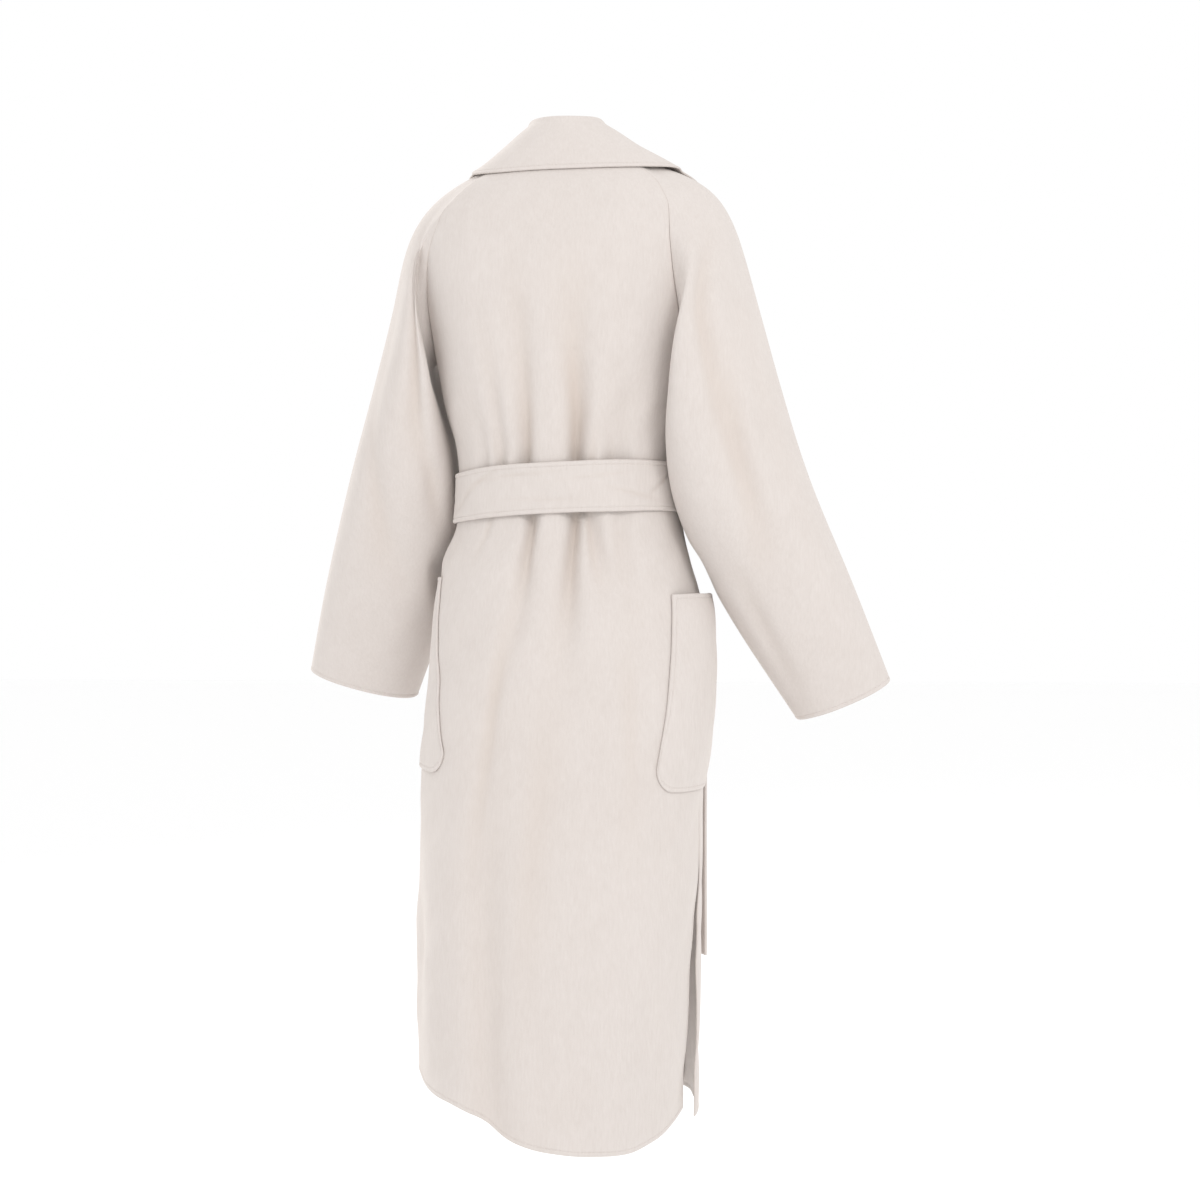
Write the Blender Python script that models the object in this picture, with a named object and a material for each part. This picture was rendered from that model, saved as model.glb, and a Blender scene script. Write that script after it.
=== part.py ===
"""A long wrap coat in double-faced wool, worn shape with nobody in it.

The origin is at the back of the neck, where the wearer carries the coat. +Z is up and the fronts
face -Y, so the wearer's left is +X. Metres and degrees. Every panel is a wall of cloth WALL thick,
laid out on one body form: a stack of rounded rings, with the folds as soft valleys and ridges in it.
"""

import bmesh
import bpy
import numpy as np

# Driving dimensions
WALL = 0.0026  # double-faced wool
SEAM = 0.0003  # between two panels that a seam joins
LAYER = 0.0016  # between two layers of cloth that lie on each other
UNDERARM_Z = -0.262
WAIST_Z = -0.428
HEM_Z = -1.205
SLIT_TOP_Z = -0.805
SKIRT_TILT = 0.0125  # how much higher the skirt hangs at the wearer's left, and lower at the right
BELT_HEIGHT = 0.063
BELT_WALL = 0.0042  # the belt is two layers of the cloth
CREAM = (0.79, 0.72, 0.65, 1.0)


def table(text):
    """Columns by name, from lines of numbers under a line of names."""
    head, *rows = [line.split() for line in text.strip().splitlines()]
    return {name: np.array([float(row[i]) for row in rows]) for i, name in enumerate(head)}


# The body form: how far each ring reaches from the axis, and how square it is (2 is an ellipse).
# turn is how far the cloth's own lines are pulled round towards the wearer's left, in degrees.
RINGS = table("""
z       left   right  back   front  square turn
 0.000  0.050  0.056  0.062  0.062  2.0    0
-0.004  0.068  0.077  0.066  0.066  2.0    0
-0.010  0.083  0.098  0.072  0.072  2.0    0
-0.022  0.109  0.142  0.081  0.079  2.1    0
-0.036  0.138  0.174  0.090  0.086  2.2    0
-0.055  0.167  0.199  0.100  0.093  2.3    0
-0.085  0.188  0.211  0.111  0.102  2.4    0
-0.125  0.191  0.206  0.121  0.110  2.4    0
-0.180  0.183  0.192  0.127  0.116  2.4    0
-0.250  0.167  0.172  0.126  0.116  2.3    0
-0.330  0.153  0.159  0.119  0.109  2.2    0
-0.390  0.138  0.148  0.110  0.102  2.1    1
-0.428  0.135  0.146  0.107  0.100  2.1    2
-0.470  0.140  0.150  0.109  0.101  2.1    3
-0.520  0.160  0.163  0.120  0.108  2.1    5
-0.590  0.168  0.178  0.134  0.118  2.2    7
-0.660  0.172  0.183  0.146  0.125  2.3    9
-0.760  0.182  0.180  0.159  0.131  2.35   10
-0.880  0.189  0.176  0.171  0.137  2.3    12
-1.020  0.193  0.173  0.181  0.143  2.25   14
-1.205  0.190  0.168  0.190  0.150  2.15   16
""")

# Folds: each runs from from_at at its start by mid_at to end_at at its end, and is deepest at deep.
# A depth below zero is a valley. Here they start, end and are deepest at heights, and lie at angles
# round the body from the centre back, towards the wearer's left.
FOLDS = table("""
from_at mid_at  end_at  start   deep    end     width  depth
 26      29      31     -0.200  -0.400  -0.450   4.0   -0.0055
 13      15      17     -0.130  -0.405  -0.470   4.2   -0.0110
 -2      -6      -9     -0.130  -0.410  -0.470   3.8   -0.0155
-20     -22     -22     -0.300  -0.405  -0.450   3.5   -0.0045
-28     -31     -34     -0.240  -0.405  -0.450   4.5   -0.0075
 17      12      14     -0.405  -0.480  -0.720   4.2   -0.0125
 13      10       1     -0.560  -1.100  -1.500   7.5   -0.0150
 -5      -3      -1     -0.420  -0.480  -0.760   3.8   -0.0145
-15     -18     -21     -0.420  -0.480  -0.620   3.6   -0.0105
-32     -36     -44     -0.420  -0.490  -0.700   4.5   -0.0070
-36     -41     -44     -0.780  -1.150  -1.500  10.0    0.0080
 60      56      50     -0.800  -1.000  -1.300   9.0   -0.0080
 40      42      42     -0.300  -0.410  -0.480   4.0   -0.0050
150     149     148     -0.240  -0.405  -0.470   9.0   -0.0050
122     121     120     -0.220  -0.405  -0.470   7.0   -0.0065
120     119     118     -0.400  -0.480  -0.560   7.0   -0.0060
142     141     140     -0.400  -0.480  -0.760   9.0   -0.0060
-118    -116    -115    -0.240  -0.405  -0.470   7.0   -0.0065
-122    -120    -118    -0.400  -0.480  -0.560   7.0   -0.0060
-168    -169    -170    -0.250  -0.405  -0.470   9.0   -0.0045
-152    -151    -150    -0.420  -0.490  -0.900  10.0   -0.0060
""")

# Raglan seams, from the neck to the underarm: the angle of the seam from the centre back, and how
# far the sleeve leaves the body there (0 carries straight on, 1 stands off and hangs).
RAGLAN_BACK = table("""
z       left   right  left_lift right_lift
-0.262  90     90     1.00      1.00
-0.253  84     74     0.95      0.95
-0.242  79     64     0.88      0.88
-0.226  74     55     0.78      0.80
-0.205  70     49     0.60      0.72
-0.160  62     41     0.32      0.55
-0.120  55     37     0.10      0.36
-0.085  48     35.5   0.00      0.18
-0.055  43     35     0.00      0.05
-0.030  42     36     0.00      0.00
 0.000  46     42     0.00      0.00
""")
RAGLAN_FRONT = table("""
z       left   right  left_lift right_lift
-0.262  90     90     1.00      1.00
-0.253  96     96     0.95      0.95
-0.242  100    100    0.88      0.88
-0.226  104    104    0.75      0.75
-0.205  108    108    0.55      0.55
-0.160  114    114    0.25      0.25
-0.120  119    119    0.08      0.08
-0.085  122    122    0.00      0.00
-0.055  123    123    0.00      0.00
-0.030  123    123    0.00      0.00
 0.000  118    118    0.00      0.00
""")
# The free edge of each front, from the side of the neck to the hem.
WRAP_EDGE = table("""
z       phi
-1.205  226
-0.800  224
-0.520  219
-0.428  209
-0.360  191
-0.300  180
-0.200  175
-0.100  171
-0.070  168
-0.040  161
-0.022  150
-0.010  140
 0.000  132
""")

# The hem's height round the coat: it hangs lowest behind the wearer's right and highest at the left.
HEM_BACK = table("""
phi   z
-90   -1.197
-76   -1.203
-60   -1.212
-45   -1.218
-30   -1.218
-14   -1.213
 3    -1.199
 14   -1.181
 28   -1.169
 45   -1.165
 62   -1.161
 90   -1.160
""")
HEM_FRONT = table("""
phi   z
-226  -1.196
-180  -1.200
-130  -1.204
-90   -1.205
 90   -1.160
 130  -1.172
 180  -1.188
 226  -1.196
""")

# Sleeve sections below the raglan seam. x is measured away from the body's middle; back_in and
# front_in say how far the section's back and front lean round towards it.
SLEEVE_LEFT = table("""
outer_x outer_z inner_x inner_z back_y front_y back_in front_in droop
0.228   -0.205  0.172   -0.300   0.094  -0.090 0.020   0.030    0.000
0.255   -0.300  0.148   -0.375   0.070  -0.110 0.006   0.030    0.000
0.290   -0.415  0.140   -0.458   0.040  -0.130 0.000   0.022    0.000
0.327   -0.535  0.168   -0.573  -0.016  -0.150 0.000   0.012    0.000
0.361   -0.658  0.215   -0.695  -0.086  -0.168 0.000   0.000    0.010
""")
SLEEVE_RIGHT = table("""
outer_x outer_z inner_x inner_z back_y front_y back_in front_in droop
0.253   -0.205  0.165   -0.305   0.140  -0.088 0.056   0.020    0.000
0.280   -0.305  0.146   -0.375   0.134  -0.082 0.046   0.020    0.000
0.312   -0.412  0.147   -0.458   0.112  -0.072 0.024   0.012    0.000
0.3625  -0.538  0.203   -0.576   0.070  -0.066 0.006   0.000    0.000
0.413   -0.666  0.294   -0.716   0.024  -0.060 0.000   0.000    0.008
""")

# Folds of the sleeves, in shares of the way round from the top line by the back, and of the way from
# the raglan seam to the cuff.
SLEEVE_FOLDS_LEFT = table("""
from_at mid_at  end_at  start deep  end   width  depth
0.150   0.262   0.300   0.08  0.30  0.52  0.030  -0.0125
0.330   0.350   0.385   0.02  0.16  0.42  0.022   0.0030
0.110   0.225   0.275   0.46  0.60  0.80  0.034  -0.0085
0.325   0.352   0.375   0.36  0.47  0.58  0.024  -0.0070
0.060   0.100   0.120   0.20  0.42  0.62  0.040  -0.0030
0.760   0.700   0.640   0.22  0.40  0.60  0.030  -0.0070
0.840   0.770   0.700   0.44  0.58  0.78  0.034  -0.0060
0.640   0.620   0.600   0.60  0.80  1.20  0.040   0.0040
""")
SLEEVE_FOLDS_RIGHT = table("""
from_at mid_at  end_at  start deep  end   width  depth
0.200   0.182   0.215   0.03  0.30  0.60  0.026  -0.0105
0.140   0.205   0.285   0.32  0.52  0.78  0.028  -0.0100
0.060   0.085   0.110   0.25  0.50  0.85  0.040  -0.0030
0.320   0.350   0.370   0.55  0.75  1.10  0.030  -0.0040
0.780   0.720   0.660   0.18  0.38  0.58  0.030  -0.0070
0.850   0.790   0.720   0.42  0.60  0.80  0.034  -0.0060
""")

# The collar, station by station from the wearer's left front round the neck to the right front:
# where its seam is, how high it stands there and how far it leans in, where its free edge lies on
# the coat, and how soon the fall comes down to it (a low tent stands off like a straight slope).
COLLAR = table("""
seam_phi seam_z  stand  lean   edge_phi edge_z  lift    tent
 178.5   -0.270  0.004  0.000  174      -0.267  0.0048  1.5
 176.8   -0.235  0.005  0.000  165      -0.224  0.0048  1.5
 174.1   -0.180  0.006  0.000  155      -0.177  0.0052  1.5
 171.0   -0.100  0.010  0.000  147      -0.112  0.0058  1.6
 165.0   -0.055  0.016  0.000  139      -0.084  0.0065  1.7
 150.0   -0.022  0.024  0.001  124      -0.062  0.0070  1.9
 132.0    0.000  0.032  0.004  108      -0.043  0.0075  2.2
 108.0    0.000  0.040  0.009   94      -0.030  0.0070  2.8
  80.0    0.000  0.042  0.010   76      -0.026  0.0065  2.8
  50.0    0.000  0.039  0.006   50      -0.035  0.0050  1.7
  25.0    0.000  0.037  0.003   25      -0.038  0.0045  1.3
   0.0    0.000  0.036  0.002    0      -0.037  0.0045  1.3
 -25.0    0.000  0.037  0.003  -22      -0.034  0.0045  1.3
 -50.0    0.000  0.041  0.007  -40      -0.031  0.0050  1.3
 -80.0    0.000  0.044  0.013  -64      -0.027  0.0065  1.55
-108.0    0.000  0.041  0.011  -86      -0.024  0.0065  1.6
-132.0    0.000  0.032  0.004 -108      -0.038  0.0075  1.6
-150.0   -0.022  0.024  0.001 -124      -0.058  0.0070  1.8
-165.0   -0.055  0.016  0.000 -139      -0.082  0.0065  1.7
-171.0   -0.100  0.010  0.000 -147      -0.112  0.0058  1.6
-174.1   -0.180  0.006  0.000 -153      -0.180  0.0052  1.5
-178.0   -0.260  0.006  0.000 -161      -0.250  0.0048  1.5
-184.0   -0.325  0.005  0.000 -174      -0.316  0.0048  1.5
-196.0   -0.378  0.004  0.000 -193      -0.376  0.0048  1.5
""")

# Patch pockets: the angles of their two sides at the mouth and at the bottom, how far the mouth
# stands open, and how far towards the front it is widest (1 is the middle).
POCKET_ROWS = [-0.548, -0.590, -0.645, -0.700, -0.750, -0.787]
POCKET_LEFT = {"back": (66, 38), "front": (126, 102), "stand": 0.0135, "lean": 3.4}
POCKET_RIGHT = {"back": (-58, -49.5), "front": (-117, -110), "stand": 0.0130, "lean": 1.0}
POCKET_CORNER = 0.028  # radius of the lower corners

# The two ends of the belt, as their middle line: angle, height, how far out from the body form, width.
KNOT_PHI = -146
KNOT_SLANT = np.radians(28)  # how far the turn of belt over the knot leans from upright
END_LONG = table("""
z       phi    out     width
-1.030  -135   0.0110  0.060
-0.900  -136   0.0110  0.060
-0.780  -137   0.0110  0.060
-0.640  -138   0.0110  0.059
-0.540  -138   0.0110  0.056
-0.490  -138   0.0114  0.048
-0.4540 -139   0.0114  0.032
""")
END_SHORT = table("""
z       phi    out     width
-0.850  -169   0.0110  0.060
-0.700  -168   0.0110  0.060
-0.560  -165   0.0110  0.057
-0.490  -160   0.0114  0.046
-0.4540 -153   0.0114  0.030
""")

# Rows and columns of the walls.
NECK_PHI = 132  # where the neckline ends and the fronts' free edges begin
YOKE_ROWS = [0.0, -0.010, -0.027, -0.052, -0.085, -0.122, -0.163, -0.205, -0.226, -0.242, -0.253, UNDERARM_Z]
LOWER_ROWS = [-0.300, -0.340, -0.378, -0.408, -0.448, -0.478, -0.510, *POCKET_ROWS, SLIT_TOP_Z,
              -0.890, -0.990, -1.100, HEM_Z]
BACK_SHARES = np.concatenate([np.linspace(0, 0.28, 8), np.linspace(0.28, 0.68, 22)[1:],
                              np.linspace(0.68, 1, 9)[1:]])
FRONT_SHARES = np.linspace(0, 1, 17)
NECK_COLUMNS = 4
CAP_ROWS = 7  # of a sleeve, between the raglan seam and its first section
SECTION_ROWS = 2  # between two sections of a sleeve
LIE_STEPS = 8  # of the sleeve's path where it lies on the form, and of its way to the first section
REACH_STEPS = 16
COLLAR_COLUMNS = 24
COLLAR_ROWS = np.array([-0.010, -0.027, -0.052, -0.085, -0.122, -0.163, -0.205, -0.253, -0.300, -0.340])
COLLAR_STAND = (0.0, 0.45, 0.85)  # shares of the stand's height, the turn's half circle and the fall
COLLAR_TURN = (0.05, 0.5, 1.0)
COLLAR_FALL = (0.22, 0.45, 0.7, 0.88, 1.0)


def smooth(xs, ys):
    """A function through the points (xs, ys) that never overshoots them; it stays level past the ends."""
    order = np.argsort(xs)
    xs, ys = xs[order], ys[order]
    step = np.diff(ys) / np.diff(xs)
    slope = np.concatenate([step[:1], np.zeros(len(xs) - 2), step[-1:]])
    rising = step[:-1] * step[1:] > 0
    slope[1:-1][rising] = (2 * step[:-1] * step[1:])[rising] / (step[:-1] + step[1:])[rising]

    def at(x):
        x = np.clip(x, xs[0], xs[-1])
        i = np.clip(np.searchsorted(xs, x) - 1, 0, len(xs) - 2)
        width = xs[i + 1] - xs[i]
        t = (x - xs[i]) / width
        return (ys[i] * (1 + 2 * t) * (1 - t) ** 2 + ys[i + 1] * t * t * (3 - 2 * t)
                + width * (slope[i] * t * (1 - t) ** 2 - slope[i + 1] * t * t * (1 - t)))

    return at


def columns_of(rows, key="z"):
    """A smooth function of the key column for each other column of a table."""
    return {name: smooth(rows[key], rows[name]) for name in rows if name != key}


ring = columns_of(RINGS)
raglan_back = columns_of(RAGLAN_BACK)
raglan_front = columns_of(RAGLAN_FRONT)
wrap_edge = columns_of(WRAP_EDGE)["phi"]


def ease(t):
    """0 to 1 along a soft S."""
    t = np.clip(t, 0, 1)
    return t * t * (3 - 2 * t)


def unit(v):
    return v / np.linalg.norm(v, axis=-1, keepdims=True)


def power(value, exponent):
    return np.sign(value) * np.abs(value) ** exponent


# ---- The body form -------------------------------------------------------------------------------


def folds_at(rows, at, down, round_trip):
    """How far folds carry the cloth out. round_trip is what at grows by, once round."""
    total = 0.0
    for from_at, mid_at, end_at, start, deep, end, width, depth in zip(*rows.values()):
        t = np.clip((down - start) / (end - start), 0, 1)
        deepest = (deep - start) / (end - start)
        along = np.where(t < deepest, ease(t / deepest), ease((1 - t) / (1 - deepest)))
        middle = from_at * (1 - t) * (1 - 2 * t) + mid_at * 4 * t * (1 - t) + end_at * t * (2 * t - 1)
        apart = (at - middle + round_trip / 2) % round_trip - round_trip / 2
        total = total + depth * along * np.exp(-((apart / (width * (1.9 - 0.9 * along))) ** 2))
    return total


def fold_height(phi, z):
    return folds_at(FOLDS, phi, z, 360)


def form(phi, z, folded=True):
    """A point of the body form."""
    phi, z = np.broadcast_arrays(np.asarray(phi, float), np.asarray(z, float))
    angle = np.radians(phi + ring["turn"](z))
    side, back = np.sin(angle), np.cos(angle)
    reach_x = np.where(side > 0, ring["left"](z), ring["right"](z))
    reach_y = np.where(back > 0, ring["back"](z), ring["front"](z))
    exponent = 2 / ring["square"](z)
    point = np.stack([reach_x * power(side, exponent), reach_y * power(back, exponent), z], axis=-1)
    if folded:
        outward = unit(np.stack([side / reach_x, back / reach_y, np.zeros_like(z)], axis=-1))
        point = point + outward * fold_height(phi, z)[..., None]
    return point


def form_normal(phi, z, folded=True):
    """The way out of the body form at each place."""
    dz, dphi = 0.002, 0.6
    z = np.minimum(z, -dz)
    across = form(phi + dphi, z, folded) - form(phi - dphi, z, folded)
    down = form(phi, z - dz, folded) - form(phi, z + dz, folded)
    return unit(np.cross(across, down))


def lay(phi, z, out=0.0, folded=True):
    """A point that lies out from the body form, square to it."""
    out = np.asarray(out, float)
    return form(phi, z, folded) + form_normal(phi, z, folded) * out[..., None]


def wrap_lift(phi, z):
    """How far the right front is lifted where it lies over the left one."""
    start = -(360 - wrap_edge(z))
    return np.where(wrap_edge(z) > 170, (WALL + LAYER) * ease((start + 20 - phi) / 16), 0.0)


def slit_shift(phi, z, side):
    """The two sides of a slit part: the back's edge falls in, the front's stands out."""
    down = ease((SLIT_TOP_Z - z) / (SLIT_TOP_Z - HEM_Z))
    near = np.exp(-(((phi + 90) / 15) ** 2)) + 0.3 * np.exp(-(((phi - 90) / 15) ** 2))
    return down * near * {"back": -0.010, "front": 0.006}[side]


def hang(phi, z, hem):
    """The height at which a row of the skirt hangs: it tilts with the pockets and ends at the hem."""
    tilt = SKIRT_TILT * np.sin(np.radians(phi))
    to_pocket = ease((-0.44 - z) / 0.10)
    to_hem = ease((-0.80 - z) / (-0.80 - HEM_Z))
    return z + tilt * to_pocket + (hem(phi) - HEM_Z - tilt) * to_hem


# ---- Walls ---------------------------------------------------------------------------------------


def wall(name, outer, inner, around=False):
    """A closed wall between two grids of points. around joins the last column to the first."""
    rows, columns = outer.shape[:2]
    points = np.concatenate([outer.reshape(-1, 3), inner.reshape(-1, 3)])
    half = rows * columns
    index = np.arange(half).reshape(rows, columns)
    if around:
        index = np.concatenate([index, index[:, :1]], axis=1)
    faces = []

    def strip(first, second):
        """Triangles between two lines of points; each pair of them shares the shorter diagonal."""
        for a, b, c, d in zip(first[:-1], first[1:], second[1:], second[:-1]):
            spans = [np.linalg.norm(points[p] - points[q]) for p, q in ((a, c), (b, d))]
            faces.extend([(a, b, c), (a, c, d)] if spans[0] < spans[1] else [(a, b, d), (b, c, d)])

    for upper, lower in zip(index[:-1], index[1:]):
        first = len(faces)
        strip(upper, lower)
        faces.extend([(a + half, c + half, b + half) for a, b, c in faces[first:]])
    strip(index[0] + half, index[0])
    strip(index[-1], index[-1] + half)
    if not around:
        strip(index[:, 0], index[:, 0] + half)
        strip(index[:, -1] + half, index[:, -1])
    mesh = bpy.data.meshes.new(name)
    mesh.from_pydata([tuple(p) for p in points], [], [tuple(int(i) for i in f) for f in faces])
    tidy = bmesh.new()
    tidy.from_mesh(mesh)
    bmesh.ops.recalc_face_normals(tidy, faces=tidy.faces)
    tidy.to_mesh(mesh)
    tidy.free()
    return add_part(name, mesh)


def grid_normals(points, around):
    """The way out at each point of a grid of points whose rows run down and columns run round."""
    if around:
        across = np.roll(points, -1, axis=1) - np.roll(points, 1, axis=1)
    else:
        across = np.gradient(points, axis=1)
    down = np.gradient(points, axis=0)
    return unit(np.cross(across, down))


def outward_normals(tube):
    """The way out at each point of a tube, whichever way its columns run."""
    normals = grid_normals(tube, around=True)
    away = tube[-1] - tube[-1].mean(axis=0)
    return normals * np.sign((normals[-1] * away).sum())


# ---- Panels --------------------------------------------------------------------------------------


def panel(name, low, high, shares, hem, out):
    """A body panel between two edge angles, given for each row."""
    z = np.array(YOKE_ROWS + LOWER_ROWS)[:, None]
    phi = low(z) + (high(z) - low(z)) * shares[None, :]
    z = hang(phi, z + 0 * phi, hem)
    raised = out(phi, z)
    return wall(name, lay(phi, z, raised), lay(phi, z, raised - WALL))


def seam_angle(z):
    """The angle that half a seam's gap takes at the side of the body."""
    return np.degrees(SEAM / 2 / 0.13) + 0 * z


def edge_back(z, side):
    """The back panel's side edge: raglan seam above the underarm, side seam below it."""
    key = "left" if side > 0 else "right"
    return side * np.where(z > UNDERARM_Z + 1e-6, raglan_back[key](z), 90 - seam_angle(z))


def edge_front(z, side):
    key = "left" if side > 0 else "right"
    return side * np.where(z > UNDERARM_Z + 1e-6, raglan_front[key](z), 90 + seam_angle(z))


hem_back = columns_of(HEM_BACK, "phi")["z"]
hem_front = columns_of(HEM_FRONT, "phi")["z"]


def make_back():
    return panel("back", lambda z: edge_back(z, -1), lambda z: edge_back(z, 1), BACK_SHARES, hem_back,
                 lambda phi, z: slit_shift(phi, z, "back"))


def make_front_left():
    return panel("front_left", lambda z: edge_front(z, 1), wrap_edge, FRONT_SHARES, hem_front,
                 lambda phi, z: slit_shift(phi, z, "front"))


def make_front_right():
    return panel("front_right", lambda z: -wrap_edge(z), lambda z: edge_front(z, -1), FRONT_SHARES,
                 hem_front, lambda phi, z: wrap_lift(phi, z) + slit_shift(phi, z, "front"))


# ---- Sleeves -------------------------------------------------------------------------------------

NECK_SHARE = 1 / 12  # the share of a sleeve's upper edge, on each side of its top, that is neckline
SHOULDER_Z = -0.075  # how far down the shoulder the sleeve lies on the body form
RAGLAN_SEAM = 0.00045
SLEEVE_CLEAR = 0.0045  # between a sleeve and the body it hangs against


def raglan_place(share, side):
    """(angle, height, lift) of the sleeve's upper edge. share runs 0 at the top, 0.5 underarm, 1."""
    key = "left" if side > 0 else "right"
    front = share > 0.5
    folded = np.where(front, 1 - share, share)
    along = np.clip((folded - NECK_SHARE) / (0.5 - NECK_SHARE), 0, 1)
    z = UNDERARM_Z * along
    seam = {True: raglan_front, False: raglan_back}
    at_seam = np.where(front, seam[True][key](z), seam[False][key](z))
    lift = np.where(front, seam[True][key + "_lift"](z), seam[False][key + "_lift"](z))
    top = (raglan_front[key](0.0) + raglan_back[key](0.0)) / 2
    on_neck = top + (at_seam - top) * np.clip(folded / NECK_SHARE, 0, 1)
    phi = np.where(folded < NECK_SHARE, on_neck, at_seam)
    return side * phi, z, lift


def sleeve_section(rows, k, share, side):
    """Section k of a sleeve: a rounded ring, from its outer side round its back."""
    row = {name: rows[name][k] for name in rows}
    angle = 2 * np.pi * share
    outer = np.array([side * row["outer_x"], 0, row["outer_z"]])
    inner = np.array([side * row["inner_x"], 0, row["inner_z"]])
    middle = (outer + inner) / 2 + np.array([0, (row["back_y"] + row["front_y"]) / 2, 0])
    half_depth = (row["back_y"] - row["front_y"]) / 2
    across = power(np.cos(angle), 0.9)[:, None] * (outer - inner) / 2
    deep = power(np.sin(angle), 0.9)
    lean = np.where(deep > 0, row["back_in"], row["front_in"]) * np.abs(deep)
    lower = row["droop"] * np.clip(np.sin(angle), 0, 1)
    return middle + across + np.stack([-side * lean, half_depth * deep, -lower], axis=1)


def hermite(a, b, leave, arrive, t):
    return (a * (1 + 2 * t) * (1 - t) ** 2 + b * t * t * (3 - 2 * t)
            + leave * t * (1 - t) ** 2 - arrive * t * t * (1 - t))


def clear_of_body(points, side, gap):
    """Moves points that are in the body, or nearer than the gap, straight out from its axis."""
    x, y, z = (points[..., i] for i in range(3))
    reach_x = np.where(x > 0, ring["left"](z), ring["right"](z))
    reach_y = np.where(y > 0, ring["back"](z), ring["front"](z))
    square = ring["square"](z)
    level = (np.abs(x / reach_x) ** square + np.abs(y / reach_y) ** square) ** (1 / square)
    phi = np.degrees(np.arctan2(power(x / reach_x, square / 2), power(y / reach_y, square / 2)))
    key = "left" if side > 0 else "right"
    from_back = np.abs(phi - ring["turn"](z))
    below = (z < UNDERARM_Z) | (from_back < raglan_back[key](z)) | (from_back > raglan_front[key](z))
    distance = np.hypot(x, y)
    surface = distance / level + np.maximum(fold_height(phi - ring["turn"](z), z), 0)
    over_belt = 0.0040 * np.exp(-(((z - WAIST_Z) / 0.055) ** 4))
    size = POCKET_LEFT if side > 0 else POCKET_RIGHT
    back, front = (np.mean(size[key]) for key in ("back", "front"))
    angle = np.clip((phi - ring["turn"](z) - back) / (front - back), -0.1, 1.1)
    over_pocket = (size["stand"] + WALL) * ease(2.5 - np.abs(angle - 0.5) * 2.4)
    over_pocket = over_pocket * ease((-0.49 - z) / 0.03) * ease((z + 0.83) / 0.03)
    wanted = surface + gap + over_belt + over_pocket
    push = np.where(below & (distance < wanted), wanted / distance, 1.0)
    moved = points.copy()
    moved[..., 0] *= push
    moved[..., 1] *= push
    return moved


def leaving_place(shares, side):
    """Where the sleeve leaves the body form: over the shoulder it lies on the form for a while."""
    phi, z, lift = raglan_place(shares, side)
    top = raglan_place(np.zeros(1), side)[0]
    on_form = ease(1 - np.minimum(shares, 1 - shares) / 0.30)
    return phi + (top - phi) * on_form * 0.5, z + SHOULDER_Z * on_form, on_form


def sleeve_points(rows, side, shares):
    """The sleeve's outer surface from the raglan seam to the cuff, and the way out at each point."""
    phi, z, lift = raglan_place(shares, side)
    start = lay(phi, z, 0.0, False)
    normal = form_normal(phi, z, False)
    ahead = lay(*raglan_place((shares + 1e-4) % 1, side)[:2], 0.0, False)
    behind = lay(*raglan_place((shares - 1e-4) % 1, side)[:2], 0.0, False)
    away = unit(np.cross(normal, behind - ahead)) * side
    underarm = np.abs(shares - 0.5) < 1e-6
    away = np.where(underarm[:, None], np.array([0.0, 0.0, 1.0]), away)
    start = start + away * RAGLAN_SEAM * np.where(underarm, 1.3, 1.0)[:, None]
    lift = lift[:, None]
    seam_out = unit(normal * (1 - lift) - away * lift)
    phi_leave, z_leave, on_form = leaving_place(shares, side)
    on_form = on_form[:, None]
    path = [start]
    for t in np.linspace(0, 1, LIE_STEPS + 1)[1:]:
        on_body = lay(phi + (phi_leave - phi) * t, z + (z_leave - z) * t, 0.0, False)
        path.append(on_body + away * RAGLAN_SEAM * (1 - t))
    travel = unit(path[-1] - path[-2] + away * 1e-5)
    leave = unit(away * (1 - lift) ** 2 + normal * lift + np.array([0, 0, -1]) * lift ** 2)
    leave = unit(leave * (1 - on_form) + travel * on_form)
    sections = [sleeve_section(rows, k, shares, side) for k in range(len(rows["outer_x"]))]
    length = np.linalg.norm(sections[0] - path[-1], axis=1, keepdims=True)
    arm = unit(sections[1] - sections[0])
    path += [hermite(path[LIE_STEPS], sections[0], leave * length * 1.15, arm * length * 1.1, t)
             for t in np.linspace(0, 1, REACH_STEPS + 1)[1:]]
    path = np.array(path)
    walked = np.cumsum(np.linalg.norm(np.diff(path, axis=0), axis=2), axis=0)
    walked = np.concatenate([np.zeros((1, len(shares))), walked])
    lines = []
    for t in np.linspace(0, 1, CAP_ROWS + 1)[:-1]:
        lines.append(np.array([[np.interp(walked[-1, c] * t, walked[:, c], path[:, c, axis])
                                for axis in range(3)] for c in range(len(shares))]))
    slopes = [arm * 0.1]
    slopes += [(b - a) / 2 for a, b in zip(sections[:-2], sections[2:])]
    slopes += [sections[-1] - sections[-2]]
    for a, b, leaving, arriving in zip(sections[:-1], sections[1:], slopes[:-1], slopes[1:]):
        lines += [hermite(a, b, leaving, arriving, t) for t in np.arange(SECTION_ROWS) / SECTION_ROWS]
    lines.append(sections[-1])
    points = np.array(lines)
    steps = np.linalg.norm(np.diff(points, axis=0), axis=2)
    walked = np.concatenate([np.zeros((1, len(shares))), np.cumsum(steps, axis=0)])
    folds = SLEEVE_FOLDS_LEFT if side > 0 else SLEEVE_FOLDS_RIGHT
    rise = folds_at(folds, shares[None, :], walked / walked[-1], 1)
    points = points + outward_normals(points) * rise[..., None]
    points[1:] = clear_of_body(points[1:], side, SLEEVE_CLEAR)
    normals = outward_normals(points)
    normals[0] = seam_out
    return points, normals


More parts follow.
